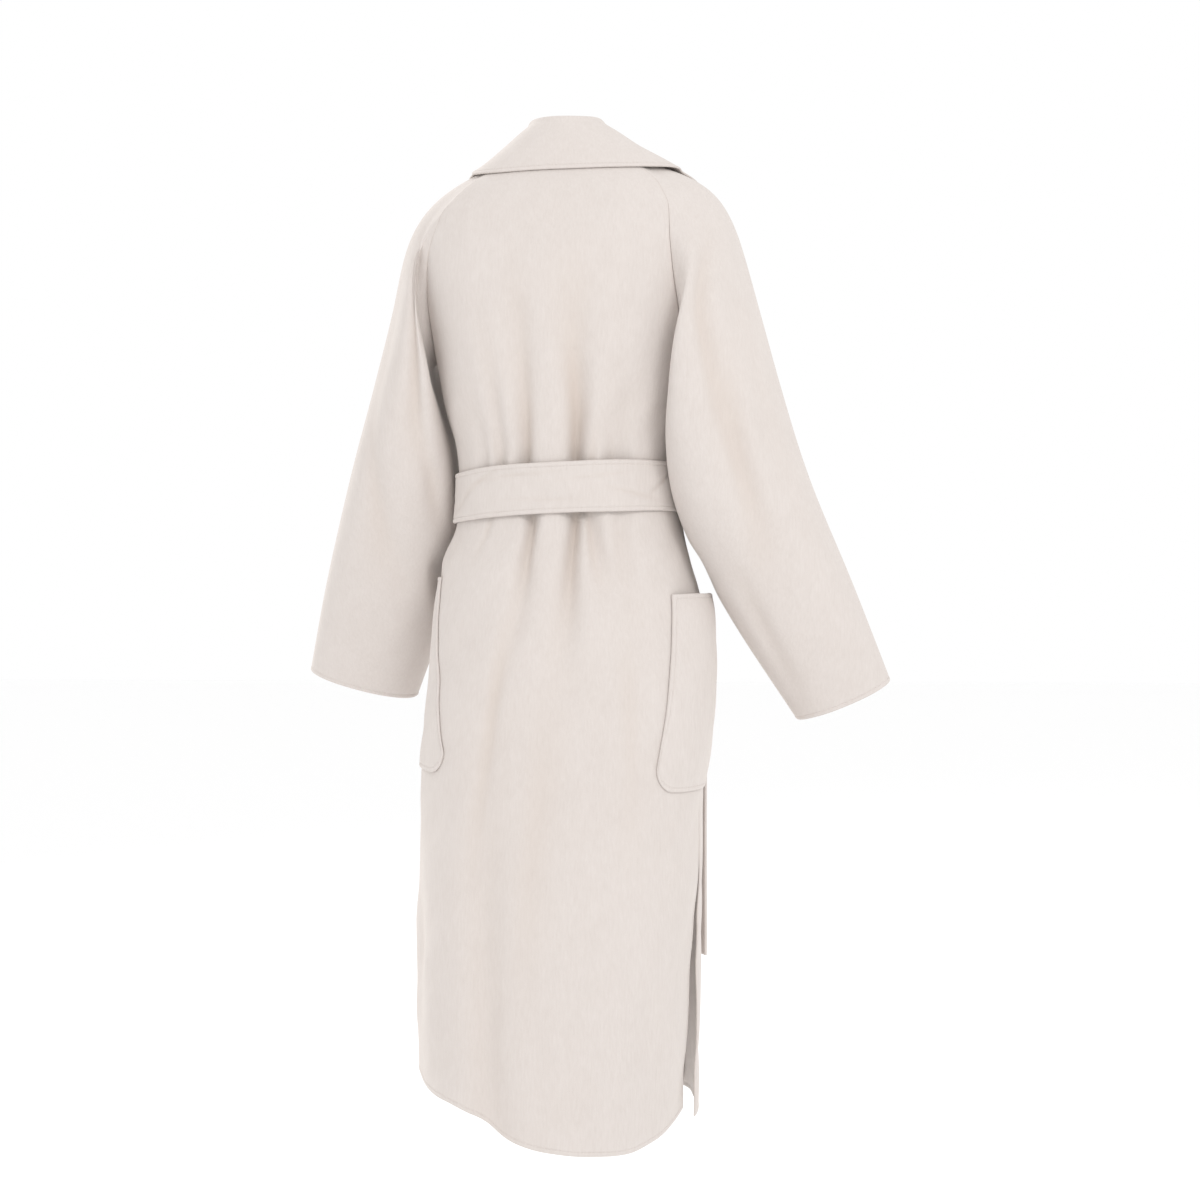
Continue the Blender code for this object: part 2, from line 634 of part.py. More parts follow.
def sleeve_shares():
    """Where the sleeve's columns run: its upper edge meets the panels' rows point for point."""
    down_seam = NECK_SHARE + (0.5 - NECK_SHARE) * np.array(YOKE_ROWS) / UNDERARM_Z
    back = np.concatenate([np.linspace(0, NECK_SHARE, NECK_COLUMNS // 2 + 1)[:-1], down_seam])
    return np.concatenate([back, 1 - back[-2:0:-1]])


def make_sleeve(name, rows, side):
    points, normals = sleeve_points(rows, side, sleeve_shares())
    return wall(name, points, points - normals * WALL, around=True)


# ---- Collar --------------------------------------------------------------------------------------


def collar_points():
    """Stands up from the neckline and the front edges, rolls over and falls back on the coat."""
    neck = COLLAR["seam_phi"] / NECK_PHI
    path = np.where(COLLAR["seam_z"] < 0, np.sign(neck) * (1 - COLLAR["seam_z"]), neck)
    down = np.array([row for row in COLLAR_ROWS if row >= COLLAR["seam_z"][0]])
    down = np.append(down, COLLAR["seam_z"][0])
    up = np.append(COLLAR_ROWS, COLLAR["seam_z"][-1])
    station = np.concatenate([1 - down[::-1], np.linspace(1, -1, COLLAR_COLUMNS + 1), -(1 - up)])
    place = {name: smooth(path, COLLAR[name])(station) for name in COLLAR}
    down_front = place["seam_z"] < -1e-5
    free_edge = np.sign(place["seam_phi"]) * wrap_edge(place["seam_z"])
    seam = [np.where(down_front, free_edge, place["seam_phi"]), place["seam_z"]]
    edge = [place["edge_phi"], place["edge_z"]]
    on_right = lambda phi, z: np.where(phi < -90, wrap_lift(phi, z), 0.0)
    base = lay(*seam, on_right(*seam), False)
    normal = form_normal(*seam, False)
    level = unit(normal * np.array([1, 1, 0]))
    along = unit(np.gradient(base, axis=0))
    neck_share = ease((place["stand"] - 0.008) / 0.017)[:, None]
    beyond = unit(unit(np.cross(normal, along)) * (1 - neck_share) + np.array([0, 0, 1]) * neck_share)
    outward = unit(normal * (1 - neck_share) + level * neck_share)
    foot = base - normal * WALL * (1 - neck_share) + beyond * SEAM * 2.2
    roll = WALL + 0.0054  # the fall's outer face from the stand's inner face
    stand = place["stand"][:, None]
    lean = place["lean"][:, None]
    lines = [foot + beyond * stand * share - outward * lean * share for share in COLLAR_STAND]
    for share in COLLAR_TURN:
        turn = np.pi * share
        out = roll / 2 * (1 - np.cos(turn)) - lean
        lines.append(foot + beyond * stand * (0.92 + np.sin(turn) * 0.11) + outward * out)
    for share in COLLAR_FALL:
        phi = seam[0] + (edge[0] - seam[0]) * share
        z = seam[1] + (edge[1] - seam[1]) * share ** 1.7
        out = roll - WALL * (1 - neck_share[:, 0])
        out = out * (1 - share) + place["lift"] * share + 0.003 * np.sin(np.pi * share)
        sag = ((1 - share) ** place["tent"])[:, None]
        still_up = (beyond * stand * 0.92 - outward * lean) * sag
        lines.append(lay(phi, z, out + on_right(phi, z), False) + still_up)
    points = np.array(lines)
    normals = grid_normals(points, around=False)
    if normals[-1, points.shape[1] // 2, 1] < 0:
        normals = -normals
    normals[0] = -outward
    return points, normals


def make_collar():
    points, normals = collar_points()
    return wall("collar", points, points - normals * WALL)


# ---- Pockets and belt ----------------------------------------------------------------------------


def pocket_points(size, rows, share):
    """A patch on the body form with two rounded lower corners; its mouth stands a little open."""
    rows, share = rows[:, None], share[None, :]
    down = (rows - rows[0]) / (rows[-1] - rows[0])
    back, front = (size[key][0] + (size[key][1] - size[key][0]) * down for key in ("back", "front"))
    phi = back + (front - back) * share
    width = np.linalg.norm(np.diff(form(phi[0], POCKET_ROWS[-1], False), axis=0), axis=1).sum()
    from_side = np.minimum(share, 1 - share) * width
    inside = np.clip(POCKET_CORNER - from_side, 0, POCKET_CORNER)
    rise = POCKET_CORNER - np.sqrt(POCKET_CORNER ** 2 - inside ** 2)
    z = hang(phi, rows + rise * down ** 3, hem_front)
    bulge = size["stand"] * np.sin(np.pi * share ** size["lean"]) ** 0.7 * (1 - down ** 2.2)
    lift = SEAM * 3 + bulge
    return lay(phi, z, lift + WALL), lay(phi, z, lift)


def make_pocket(name, size):
    return wall(name, *pocket_points(size, np.array(POCKET_ROWS), np.linspace(0, 1, 16)))


def belt_height(phi):
    """The middle of the belt: it sits lower at the wearer's left and at the front."""
    angle = np.radians(phi)
    return WAIST_Z - 0.0065 * np.sin(angle) - 0.002 * (1 - np.cos(angle))


def belt_out(phi):
    """The belt's inner face from the body form: it goes over both fronts where they overlap."""
    over = ease((np.abs(phi) - 112) / 18)
    return 0.0011 + (WALL + LAYER) * over


def belt_points(phi, up):
    """The band's outer and inner faces; up runs from 1 at its top edge to -1 at its lower edge."""
    phi, up = phi[None, :], up[:, None]
    z = belt_height(phi) + up * BELT_HEIGHT / 2
    out = belt_out(phi) + 0.0016 * (1 - up ** 2)
    return lay(phi, z, out + BELT_WALL, False), lay(phi, z, out, False)


def make_belt_band():
    faces = belt_points(np.linspace(-180, 180, 51)[:-1], np.linspace(1, -1, 5))
    return wall("belt_band", *faces, around=True)


def belt_end_points(line, down, share):
    """A strip of the belt that hangs from the knot; share runs from -0.5 to 0.5 across it."""
    place = columns_of(line)
    z = line["z"].max() + (line["z"].min() - line["z"].max()) * down[:, None]
    phi = place["phi"](z)
    middle = lay(phi, z, place["out"](z), False)
    level = form_normal(phi, z, False) * np.array([1, 1, 0])
    across = unit(np.cross(level, np.array([0, 0, 1])))
    share = share[None, :, None]
    bow = (1 - 4 * share ** 2) * 0.002
    inner = middle + across * share * place["width"](z)[..., None] + unit(level) * bow
    return inner + unit(level) * BELT_WALL, inner


def make_belt_end(name, line):
    return wall(name, *belt_end_points(line, np.linspace(0, 1, 11), np.linspace(-0.5, 0.5, 5)))


def make_belt_knot():
    """The knot: a squarish lump over the band, with one turn of the belt slanting across it."""
    size = np.array([0.029, 0.0175, 0.033])
    mesh = bpy.data.meshes.new("belt_knot")
    ball = bmesh.new()
    bmesh.ops.create_uvsphere(ball, u_segments=24, v_segments=16, radius=1.0)
    for vertex in ball.verts:
        way = np.array(vertex.co)
        point = way * (np.abs(way) ** 2.7).sum() ** (-1 / 2.7)
        slant = point[0] * np.cos(KNOT_SLANT) + point[2] * np.sin(KNOT_SLANT)
        turn = np.exp(-((slant / 0.62) ** 6)) * max(point[1], 0)
        vertex.co = point * size * (0.93 + 0.10 * turn)
    ball.to_mesh(mesh)
    ball.free()
    z = float(belt_height(KNOT_PHI)) + 0.002
    seat = belt_out(np.array(float(KNOT_PHI))) + BELT_WALL + 0.0016
    knot = add_part("belt_knot", mesh)
    outward = form_normal(np.array(float(KNOT_PHI)), np.array(z), False) * np.array([1, 1, 0])
    outward = unit(outward)
    place = lay(np.array(float(KNOT_PHI)), np.array(z), seat, False) + outward * (size[1] * 0.93 + 0.0001)
    knot.location = place
    knot.rotation_euler = (0, 0, float(np.arctan2(-outward[0], outward[1])))
    return knot


# ---- Scene ---------------------------------------------------------------------------------------


def wool(name):
    """Cream wool, matt."""
    material = bpy.data.materials.new(name + "_wool")
    material.use_nodes = True
    shader = material.node_tree.nodes["Principled BSDF"]
    shader.inputs["Base Color"].default_value = CREAM
    shader.inputs["Roughness"].default_value = 0.95
    shader.inputs["Metallic"].default_value = 0.0
    return material


def add_part(name, mesh):
    part = bpy.data.objects.new(name, mesh)
    mesh.materials.append(wool(name))
    coat.objects.link(part)
    return part


for old in list(bpy.data.objects):
    bpy.data.objects.remove(old)
coat = bpy.data.collections.new("wrap_coat")
bpy.context.scene.collection.children.link(coat)

make_back()
make_front_left()
make_front_right()
make_sleeve("sleeve_left", SLEEVE_LEFT, 1)
make_sleeve("sleeve_right", SLEEVE_RIGHT, -1)
make_collar()
make_pocket("pocket_left", POCKET_LEFT)
make_pocket("pocket_right", POCKET_RIGHT)
make_belt_band()
make_belt_knot()
make_belt_end("belt_end_long", END_LONG)
make_belt_end("belt_end_short", END_SHORT)
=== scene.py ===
"""The looks of the wrap coat: cream double-faced wool, fine folds, pressed edges and stitching.

Every piece of cloth is a thin wall on the same body form as its CAD solid, with many more points. The
origin is at the back of the neck, +Z is up, the fronts face -Y and the wearer's left is +X.
Metres and degrees.
"""

import bpy
import numpy as np
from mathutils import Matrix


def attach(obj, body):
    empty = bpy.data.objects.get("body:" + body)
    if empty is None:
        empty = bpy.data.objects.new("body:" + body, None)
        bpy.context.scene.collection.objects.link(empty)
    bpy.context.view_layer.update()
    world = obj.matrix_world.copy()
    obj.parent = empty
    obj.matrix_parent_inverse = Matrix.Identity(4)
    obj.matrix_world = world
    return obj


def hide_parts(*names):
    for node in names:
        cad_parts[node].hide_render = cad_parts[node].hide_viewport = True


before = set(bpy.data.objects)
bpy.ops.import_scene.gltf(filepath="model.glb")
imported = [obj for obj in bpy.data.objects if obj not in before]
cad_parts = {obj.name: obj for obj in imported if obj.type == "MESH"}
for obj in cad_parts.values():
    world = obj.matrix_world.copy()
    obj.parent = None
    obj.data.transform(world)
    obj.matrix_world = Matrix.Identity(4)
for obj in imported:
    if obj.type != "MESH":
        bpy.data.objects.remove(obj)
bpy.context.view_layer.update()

# ---- The coat's sizes: most are those of its CAD model -------------------------------------------

WALL = 0.0026  # double-faced wool
SEAM = 0.0001  # between two panels that a seam joins: closer than in the solids
RAGLAN_SEAM = 0.00018
LAYER = 0.0016  # between two layers of cloth that lie on each other
SLIT_FALLS_IN, SLIT_STANDS_OUT = 0.010, 0.006  # the slit's back and front edge at the hem
SLEEVE_CLEAR = 0.0045  # between a sleeve and the body it hangs against
UNDERARM_Z = -0.262
WAIST_Z = -0.428
HEM_Z = -1.205
SHOULDER_Z = -0.075  # how far down the shoulder the sleeve lies on the body form
SLIT_TOP_Z = -0.805
TILT_Z, TILT_FADE = -0.44, 0.10  # where the skirt starts to tilt, and over what height
HEM_FOLLOW_Z = -0.80  # from here down, the rows come to follow the hem
SKIRT_TILT = 0.0125  # how much higher the skirt hangs at the wearer's left, and lower at the right
BELT_HEIGHT = 0.063
BELT_WALL = 0.0042  # the belt is two layers of the cloth
BELT_CLEAR = 0.0011  # from the cloth under it
BELT_DIP_LEFT, BELT_DIP_FRONT = 0.0065, 0.004  # how much lower it sits towards the left and in front
BELT_BULGE = 0.0016  # of its middle, beyond its two edges
NECK_PHI = 132  # where the neckline ends and the fronts' free edges begin
NECK_SHARE = 1 / 12  # the share of a sleeve's upper edge, on each side of its top, that is neckline
POCKET_TOP, POCKET_BOTTOM, POCKET_WIDTH = -0.548, -0.787, 0.19
POCKET_CORNER = 0.028  # radius of the lower corners
POCKET_ZONE = (-0.49, -0.83)  # where a sleeve keeps clear of its pocket
BELT_PROUD = 0.0040  # how far a sleeve keeps off the belt
SLEEVE_FOLD_GAIN = 1.25  # the folds of the sleeves' walls are softened after they are laid
ROLL_OPEN = 0.0054  # the collar's roll is this much thicker than one layer of cloth
FALL_BOW = 0.003  # how far the collar's fall bows out between its roll and its edge
STAND_TOP, ROLL_RISE = 0.92, 0.11  # shares of the stand where the roll begins and how high it rises
SEAM_SHADE = 0.0015  # how wide a seam's shade is
KNOT_PHI = -146
KNOT_SLANT = np.radians(28)  # how far the turn of belt over the knot leans from upright
STITCH_IN = 0.0055  # the topstitching from a finished edge

# Rows and columns of the walls: they stand close together near a finished edge and near a seam.
FREE_STEPS = np.array([0, 0.0003, 0.0007, 0.0012, 0.0020, 0.0031, 0.0042, 0.0048, 0.0052, 0.0055,
                       0.0058, 0.0062, 0.0068, 0.0080, 0.0100])
SEWN_STEPS = np.array([0, 0.0005, 0.0011, 0.0018, 0.0028, 0.0042])
PANEL_Z = np.concatenate([np.linspace(0, UNDERARM_Z, 64), np.linspace(UNDERARM_Z, -0.60, 92)[1:],
                          np.linspace(-0.60, HEM_Z + FREE_STEPS[-1], 92)[1:-1], HEM_Z + FREE_STEPS[::-1]])
LIE_STEPS = 24  # of a sleeve while it lies on the shoulder
REACH_STEPS = 60  # from there to its first section
CAP_ROWS = 60  # over both stretches
SECTION_ROWS = 14  # from one section to the next
SLEEVE_ROWS, SLEEVE_COLUMNS = 120, 160
BACK_COLUMNS, FRONT_COLUMNS, POCKET_COLUMNS, BELT_ROWS, END_COLUMNS = 150, 84, 44, 14, 16  # between edges
COLLAR_COLUMNS = 168
COLLAR_ROWS = np.linspace(-0.003, -0.374, 112)  # down the fronts' free edges
COLLAR_STAND = np.linspace(0, 0.85, 10)
COLLAR_TURN = np.linspace(0.05, 1, 12)
COLLAR_FALL = np.linspace(0.03, 1, 60)
ROLL_STEPS, FALL_ROWS = 14, 42  # over the collar's roll once it is evened, and down its fall


def table(text):
    """Columns by name, from lines of numbers under a line of names."""
    head, *rows = [line.split() for line in text.strip().splitlines()]
    return {name: np.array([float(row[i]) for row in rows]) for i, name in enumerate(head)}


# The body form: how far each ring reaches from the axis, and how square it is (2 is an ellipse).
# turn is how far the cloth's own lines are pulled round towards the wearer's left, in degrees.
RINGS = table("""
     z  left right  back front square turn
 0.000 0.050 0.056 0.062 0.062    2.0    0
-0.004 0.068 0.077 0.066 0.066    2.0    0
-0.010 0.083 0.098 0.072 0.072    2.0    0
-0.022 0.109 0.142 0.081 0.079    2.1    0
-0.036 0.138 0.174 0.090 0.086    2.2    0
-0.055 0.167 0.199 0.100 0.093    2.3    0
-0.085 0.188 0.211 0.111 0.102    2.4    0
-0.125 0.191 0.206 0.121 0.110    2.4    0
-0.180 0.183 0.192 0.127 0.116    2.4    0
-0.250 0.167 0.172 0.126 0.116    2.3    0
-0.330 0.153 0.159 0.119 0.109    2.2    0
-0.390 0.138 0.148 0.110 0.102    2.1    1
-0.428 0.135 0.146 0.107 0.100    2.1    2
-0.470 0.140 0.150 0.109 0.101    2.1    3
-0.520 0.160 0.163 0.120 0.108    2.1    5
-0.590 0.168 0.178 0.134 0.118    2.2    7
-0.660 0.172 0.183 0.146 0.125    2.3    9
-0.760 0.182 0.180 0.159 0.131   2.35   10
-0.880 0.189 0.176 0.171 0.137    2.3   12
-1.020 0.193 0.173 0.181 0.143   2.25   14
-1.205 0.190 0.168 0.190 0.150   2.15   16
""")
# Folds: each runs from from_at at its start by mid_at to end_at at its end, and is deepest at deep.
# A depth below zero is a valley. Here they start, end and are deepest at heights, and lie at angles
# round the body from the centre back, towards the wearer's left.
FOLDS = table("""
from_at mid_at end_at  start   deep    end width   depth
     26     29     31 -0.200 -0.400 -0.450   4.0 -0.0055
     13     15     17 -0.130 -0.405 -0.470   4.2 -0.0110
     -4     -8  -10.5 -0.130 -0.410 -0.470   3.6 -0.0155
    -20    -24    -26 -0.300 -0.405 -0.450   3.5 -0.0055
    -28    -31    -34 -0.240 -0.405 -0.450   4.5 -0.0075
     12    8.5     10 -0.405 -0.480 -0.720   3.4 -0.0110
     13     10      1 -0.560 -1.100 -1.500   7.5 -0.0150
    -10    -10     -9 -0.420 -0.480 -0.760   3.4 -0.0145
    -15    -23    -31 -0.420 -0.480 -0.620   3.6 -0.0095
    -32    -36    -44 -0.420 -0.490 -0.700   4.5 -0.0070
    -36    -41    -44 -0.780 -1.150 -1.500  10.0  0.0080
     60     56     50 -0.800 -1.000 -1.300   9.0 -0.0080
     40     42     42 -0.300 -0.410 -0.480   4.0 -0.0050
    150    149    148 -0.240 -0.405 -0.470   9.0 -0.0050
    122    121    120 -0.220 -0.405 -0.470   7.0 -0.0065
    120    119    118 -0.400 -0.480 -0.560   7.0 -0.0060
    142    141    140 -0.400 -0.480 -0.760   9.0 -0.0060
   -118   -116   -115 -0.240 -0.405 -0.470   7.0 -0.0065
   -122   -120   -118 -0.400 -0.480 -0.560   7.0 -0.0060
   -168   -169   -170 -0.250 -0.405 -0.470   9.0 -0.0045
   -152   -151   -150 -0.420 -0.490 -0.900  10.0 -0.0060
""")
# Soft hollows and swells of a hand's breadth, too shallow for the CAD solids: waves round the body,
# waves up it, where they start and how high they are.
SWELLS = table("""
round   up start height
    5  6.1   0.4 0.0008
    8 -4.3   2.1 0.0006
   11  9.7   4.0 0.0004
   17 14.9   1.2 0.0003
""")
# Narrow creases where the belt draws the cloth in, with the columns of FOLDS.
CREASES = table("""
from_at mid_at end_at  start   deep    end width   depth
     12     15     17 -0.250 -0.412 -0.470   2.3 -0.0045
     -2     -7    -10 -0.200 -0.412 -0.470   2.2 -0.0065
    -17    -16    -15 -0.330 -0.412 -0.470   2.1 -0.0040
    -24    -27    -30 -0.320 -0.412 -0.470   2.3 -0.0030
     34     31     31 -0.340 -0.412 -0.470   2.2 -0.0022
     13      9      9 -0.420 -0.474 -0.620   2.2 -0.0055
    -10  -10.5    -10 -0.420 -0.474 -0.680   2.2 -0.0065
    -14    -19    -26 -0.420 -0.474 -0.580   2.2 -0.0045
     33     35     37 -0.420 -0.474 -0.540   2.2 -0.0025
    140    138    137 -0.300 -0.412 -0.470   3.0 -0.0030
    124    122    121 -0.330 -0.412 -0.470   2.6 -0.0025
    118    119    120 -0.420 -0.474 -0.560   2.6 -0.0025
    147    144    142 -0.420 -0.474 -0.600   3.0 -0.0030
   -112   -114   -115 -0.310 -0.412 -0.470   2.6 -0.0030
   -135   -137   -138 -0.330 -0.412 -0.470   3.0 -0.0025
   -124   -121   -119 -0.420 -0.474 -0.560   2.6 -0.0028
   -150   -148   -147 -0.420 -0.474 -0.620   3.0 -0.0026
   -140   -136   -131 -0.420 -0.500 -0.960   5.5 -0.0065
   -172   -170   -167 -0.420 -0.490 -0.800   4.5 -0.0055
    163    166    169 -0.420 -0.495 -0.880   5.0 -0.0060
    128    131    136 -0.430 -0.500 -0.820   4.5 -0.0045
   -152   -147   -145 -0.250 -0.410 -0.470   4.0 -0.0050
    167    163    160 -0.300 -0.410 -0.470   4.0 -0.0050
   -176   -172   -169 -0.330 -0.410 -0.470   3.0 -0.0035
     13     13     15 -0.070 -0.300 -0.460   4.0 -0.0034
     -3     -5     -9 -0.060 -0.310 -0.460   4.2 -0.0040
     31     29     30 -0.150 -0.330 -0.460   4.0 -0.0022
     10     16     20 -0.540 -0.680 -1.050   3.6 -0.0048
     -9     -6     -4 -0.600 -0.820 -1.180   5.0 -0.0030
    -31    -37    -40 -0.560 -0.700 -0.950   4.0 -0.0026
""")
# Raglan seams, from the neck to the underarm: the angle of the seam from the centre back, and how
# far the sleeve leaves the body there (0 carries straight on, 1 stands off and hangs).
RAGLAN_BACK = table("""
     z left right left_lift right_lift
-0.262   90    90      1.00       1.00
-0.253   84    74      0.95       0.95
-0.242   79    64      0.88       0.88
-0.226   74    55      0.78       0.80
-0.205   70    49      0.60       0.72
-0.160   62    41      0.32       0.55
-0.120   55    37      0.10       0.36
-0.085   48  35.5      0.00       0.18
-0.055   43    35      0.00       0.05
-0.030   42    36      0.00       0.00
 0.000   46    42      0.00       0.00
""")
RAGLAN_FRONT = table("""
     z left left_lift
-0.262   90      1.00
-0.253   96      0.95
-0.242  100      0.88
-0.226  104      0.75
-0.205  108      0.55
-0.160  114      0.25
-0.120  119      0.08
-0.085  122      0.00
-0.055  123      0.00
-0.030  123      0.00
 0.000  118      0.00
""")
# The free edge of each front, from the side of the neck to the hem.
WRAP_EDGE = table("""
     z phi
-1.205 226
-0.800 224
-0.520 219
-0.428 209
-0.360 191
-0.300 180
-0.200 175
-0.100 171
-0.070 168
-0.040 161
-0.022 150
-0.010 140
 0.000 132
""")
# The hem's height round the coat: it hangs lowest behind the wearer's right and highest at the left.
HEM_BACK = table("""
phi      z
-90 -1.197
-76 -1.203
-60 -1.212
-45 -1.218
-30 -1.218
-14 -1.213
  3 -1.199
 14 -1.181
 28 -1.169
 45 -1.165
 62 -1.161
 90 -1.160
""")
HEM_FRONT = table("""
 phi      z
-226 -1.196
-180 -1.200
-130 -1.204
 -90 -1.205
  90 -1.160
 130 -1.172
 180 -1.188
 226 -1.196
""")
# Sleeve sections below the raglan seam. x is measured away from the body's middle; back_in and
# front_in say how far the section's back and front lean round towards it.
SLEEVE_LEFT = table("""
outer_x outer_z inner_x inner_z back_y front_y back_in front_in droop
  0.228  -0.205   0.172  -0.300  0.094  -0.090   0.020    0.030 0.000
  0.255  -0.300   0.148  -0.375  0.070  -0.110   0.006    0.030 0.000
  0.290  -0.415   0.140  -0.458  0.040  -0.130   0.000    0.022 0.000
  0.327  -0.535   0.168  -0.573 -0.016  -0.150   0.000    0.012 0.000
  0.361  -0.658   0.215  -0.695 -0.086  -0.168   0.000    0.000 0.010
""")
SLEEVE_RIGHT = table("""
outer_x outer_z inner_x inner_z back_y front_y back_in front_in droop
  0.253  -0.205   0.165  -0.305  0.140  -0.088   0.056    0.020 0.000
  0.280  -0.305   0.146  -0.375  0.134  -0.082   0.046    0.020 0.000
  0.312  -0.412   0.147  -0.458  0.112  -0.072   0.024    0.012 0.000
 0.3625  -0.538   0.203  -0.576  0.070  -0.066   0.006    0.000 0.000
  0.413  -0.666   0.294  -0.716  0.024  -0.060   0.000    0.000 0.008
""")
# Folds of the sleeves, in shares of the way round from the top line by the back, and of the way from
# the raglan seam to the cuff.
SLEEVE_FOLDS_LEFT = table("""
from_at mid_at end_at start deep  end width   depth
  0.150  0.262  0.300  0.08 0.30 0.52 0.030 -0.0125
  0.330  0.350  0.385  0.02 0.16 0.42 0.022  0.0030
  0.110  0.225  0.275  0.46 0.60 0.80 0.034 -0.0085
  0.325  0.352  0.375  0.36 0.47 0.58 0.024 -0.0070
  0.060  0.100  0.120  0.20 0.42 0.62 0.040 -0.0030
  0.760  0.700  0.640  0.22 0.40 0.60 0.030 -0.0070
  0.840  0.770  0.700  0.44 0.58 0.78 0.034 -0.0060
  0.640  0.620  0.600  0.60 0.80 1.20 0.040  0.0040
""")
SLEEVE_FOLDS_RIGHT = table("""
from_at mid_at end_at start deep  end width   depth
  0.200  0.182  0.215  0.03 0.30 0.60 0.026 -0.0105
  0.140  0.205  0.285  0.32 0.52 0.78 0.028 -0.0100
  0.060  0.085  0.110  0.25 0.50 0.85 0.040 -0.0030
  0.320  0.350  0.370  0.55 0.75 1.10 0.030 -0.0040
  0.780  0.720  0.660  0.18 0.38 0.58 0.030 -0.0070
  0.850  0.790  0.720  0.42 0.60 0.80 0.034 -0.0060
""")
# The collar, station by station from the wearer's left front round the neck to the right front:
# where its seam is, how high it stands there and how far it leans in, where its free edge lies on
# the coat, and how soon the fall comes down to it (a low tent stands off like a straight slope).
COLLAR = table("""
seam_phi seam_z stand  lean edge_phi edge_z   lift tent
   178.5 -0.270 0.004 0.000      174 -0.267 0.0048  1.5
   176.8 -0.235 0.005 0.000      165 -0.224 0.0048  1.5
   174.1 -0.180 0.006 0.000      155 -0.177 0.0052  1.5
   171.0 -0.100 0.010 0.000      147 -0.112 0.0058  1.6
   165.0 -0.055 0.016 0.000      139 -0.084 0.0065  1.7
   150.0 -0.022 0.024 0.001      124 -0.062 0.0070  1.9
   132.0  0.000 0.032 0.004      108 -0.043 0.0075  2.2
   108.0  0.000 0.040 0.009       94 -0.030 0.0070  2.8
    80.0  0.000 0.042 0.010       76 -0.026 0.0065  2.8
    50.0  0.000 0.039 0.006       50 -0.035 0.0050  1.7
    25.0  0.000 0.037 0.003       25 -0.038 0.0045  1.3
     0.0  0.000 0.036 0.002        0 -0.037 0.0045  1.3
   -25.0  0.000 0.037 0.003      -22 -0.034 0.0045  1.3
   -50.0  0.000 0.041 0.007      -40 -0.031 0.0050  1.3
   -80.0  0.000 0.044 0.013      -64 -0.027 0.0065 1.55
  -108.0  0.000 0.041 0.011      -86 -0.024 0.0065  1.6
  -132.0  0.000 0.032 0.004     -108 -0.038 0.0075  1.6
  -150.0 -0.022 0.024 0.001     -124 -0.058 0.0070  1.8
  -165.0 -0.055 0.016 0.000     -139 -0.082 0.0065  1.7
  -171.0 -0.100 0.010 0.000     -147 -0.112 0.0058  1.6
  -174.1 -0.180 0.006 0.000     -153 -0.180 0.0052  1.5
  -178.0 -0.260 0.006 0.000     -161 -0.250 0.0048  1.5
  -184.0 -0.325 0.005 0.000     -174 -0.316 0.0048  1.5
  -196.0 -0.378 0.004 0.000     -193 -0.376 0.0048  1.5
""")
# Patch pockets: the angles of their two sides at the mouth and at the bottom, how far the mouth
# stands open, and how far towards the front it is widest (1 is the middle).
POCKET_LEFT = {"back": (66, 38), "front": (126, 102), "stand": 0.0135, "lean": 3.4}
POCKET_RIGHT = {"back": (-58, -49.5), "front": (-117, -110), "stand": 0.0130, "lean": 1.0}
# The two ends of the belt, as their middle line: height, angle, how far out from the body form, width.
END_LONG = table("""
      z  phi    out width
 -1.030 -135 0.0110 0.060
 -0.900 -136 0.0110 0.060
 -0.780 -137 0.0110 0.060
 -0.640 -138 0.0110 0.059
 -0.540 -138 0.0110 0.056
 -0.490 -138 0.0114 0.048
-0.4540 -139 0.0114 0.032
""")
END_SHORT = table("""
      z  phi    out width
 -0.850 -169 0.0110 0.060
 -0.700 -168 0.0110 0.060
 -0.560 -165 0.0110 0.057
 -0.490 -160 0.0114 0.046
-0.4540 -153 0.0114 0.030
""")


def smooth(xs, ys):
    """A function through the points (xs, ys) that never overshoots them; it stays level past the ends."""
    order = np.argsort(xs)
    xs, ys = xs[order], ys[order]
    step = np.diff(ys) / np.diff(xs)
    slope = np.concatenate([step[:1], np.zeros(len(xs) - 2), step[-1:]])
    rising = step[:-1] * step[1:] > 0
    slope[1:-1][rising] = (2 * step[:-1] * step[1:])[rising] / (step[:-1] + step[1:])[rising]

    def at(x):
        x = np.clip(x, xs[0], xs[-1])
        i = np.clip(np.searchsorted(xs, x) - 1, 0, len(xs) - 2)
        width = xs[i + 1] - xs[i]
        t = (x - xs[i]) / width
        return (ys[i] * (1 + 2 * t) * (1 - t) ** 2 + ys[i + 1] * t * t * (3 - 2 * t)
                + width * (slope[i] * t * (1 - t) ** 2 - slope[i + 1] * t * t * (1 - t)))

    return at


def columns_of(rows, key="z"):
    """A smooth function of the key column for each other column of a table."""
    return {name: smooth(rows[key], rows[name]) for name in rows if name != key}


ring = columns_of(RINGS)
raglan_back = columns_of(RAGLAN_BACK)
raglan_front = columns_of(RAGLAN_FRONT)
raglan_front.update(right=raglan_front["left"], right_lift=raglan_front["left_lift"])
wrap_edge = columns_of(WRAP_EDGE)["phi"]


def ease(t):
    """0 to 1 along a soft S."""
    t = np.clip(t, 0, 1)
    return t * t * (3 - 2 * t)


def bell(x, width):
    """1 at zero, and less on both sides of it."""
    return np.exp(-((x / width) ** 2))


def unit(v):
    return v / np.linalg.norm(v, axis=-1, keepdims=True)


def power(value, exponent):
    return np.sign(value) * np.abs(value) ** exponent


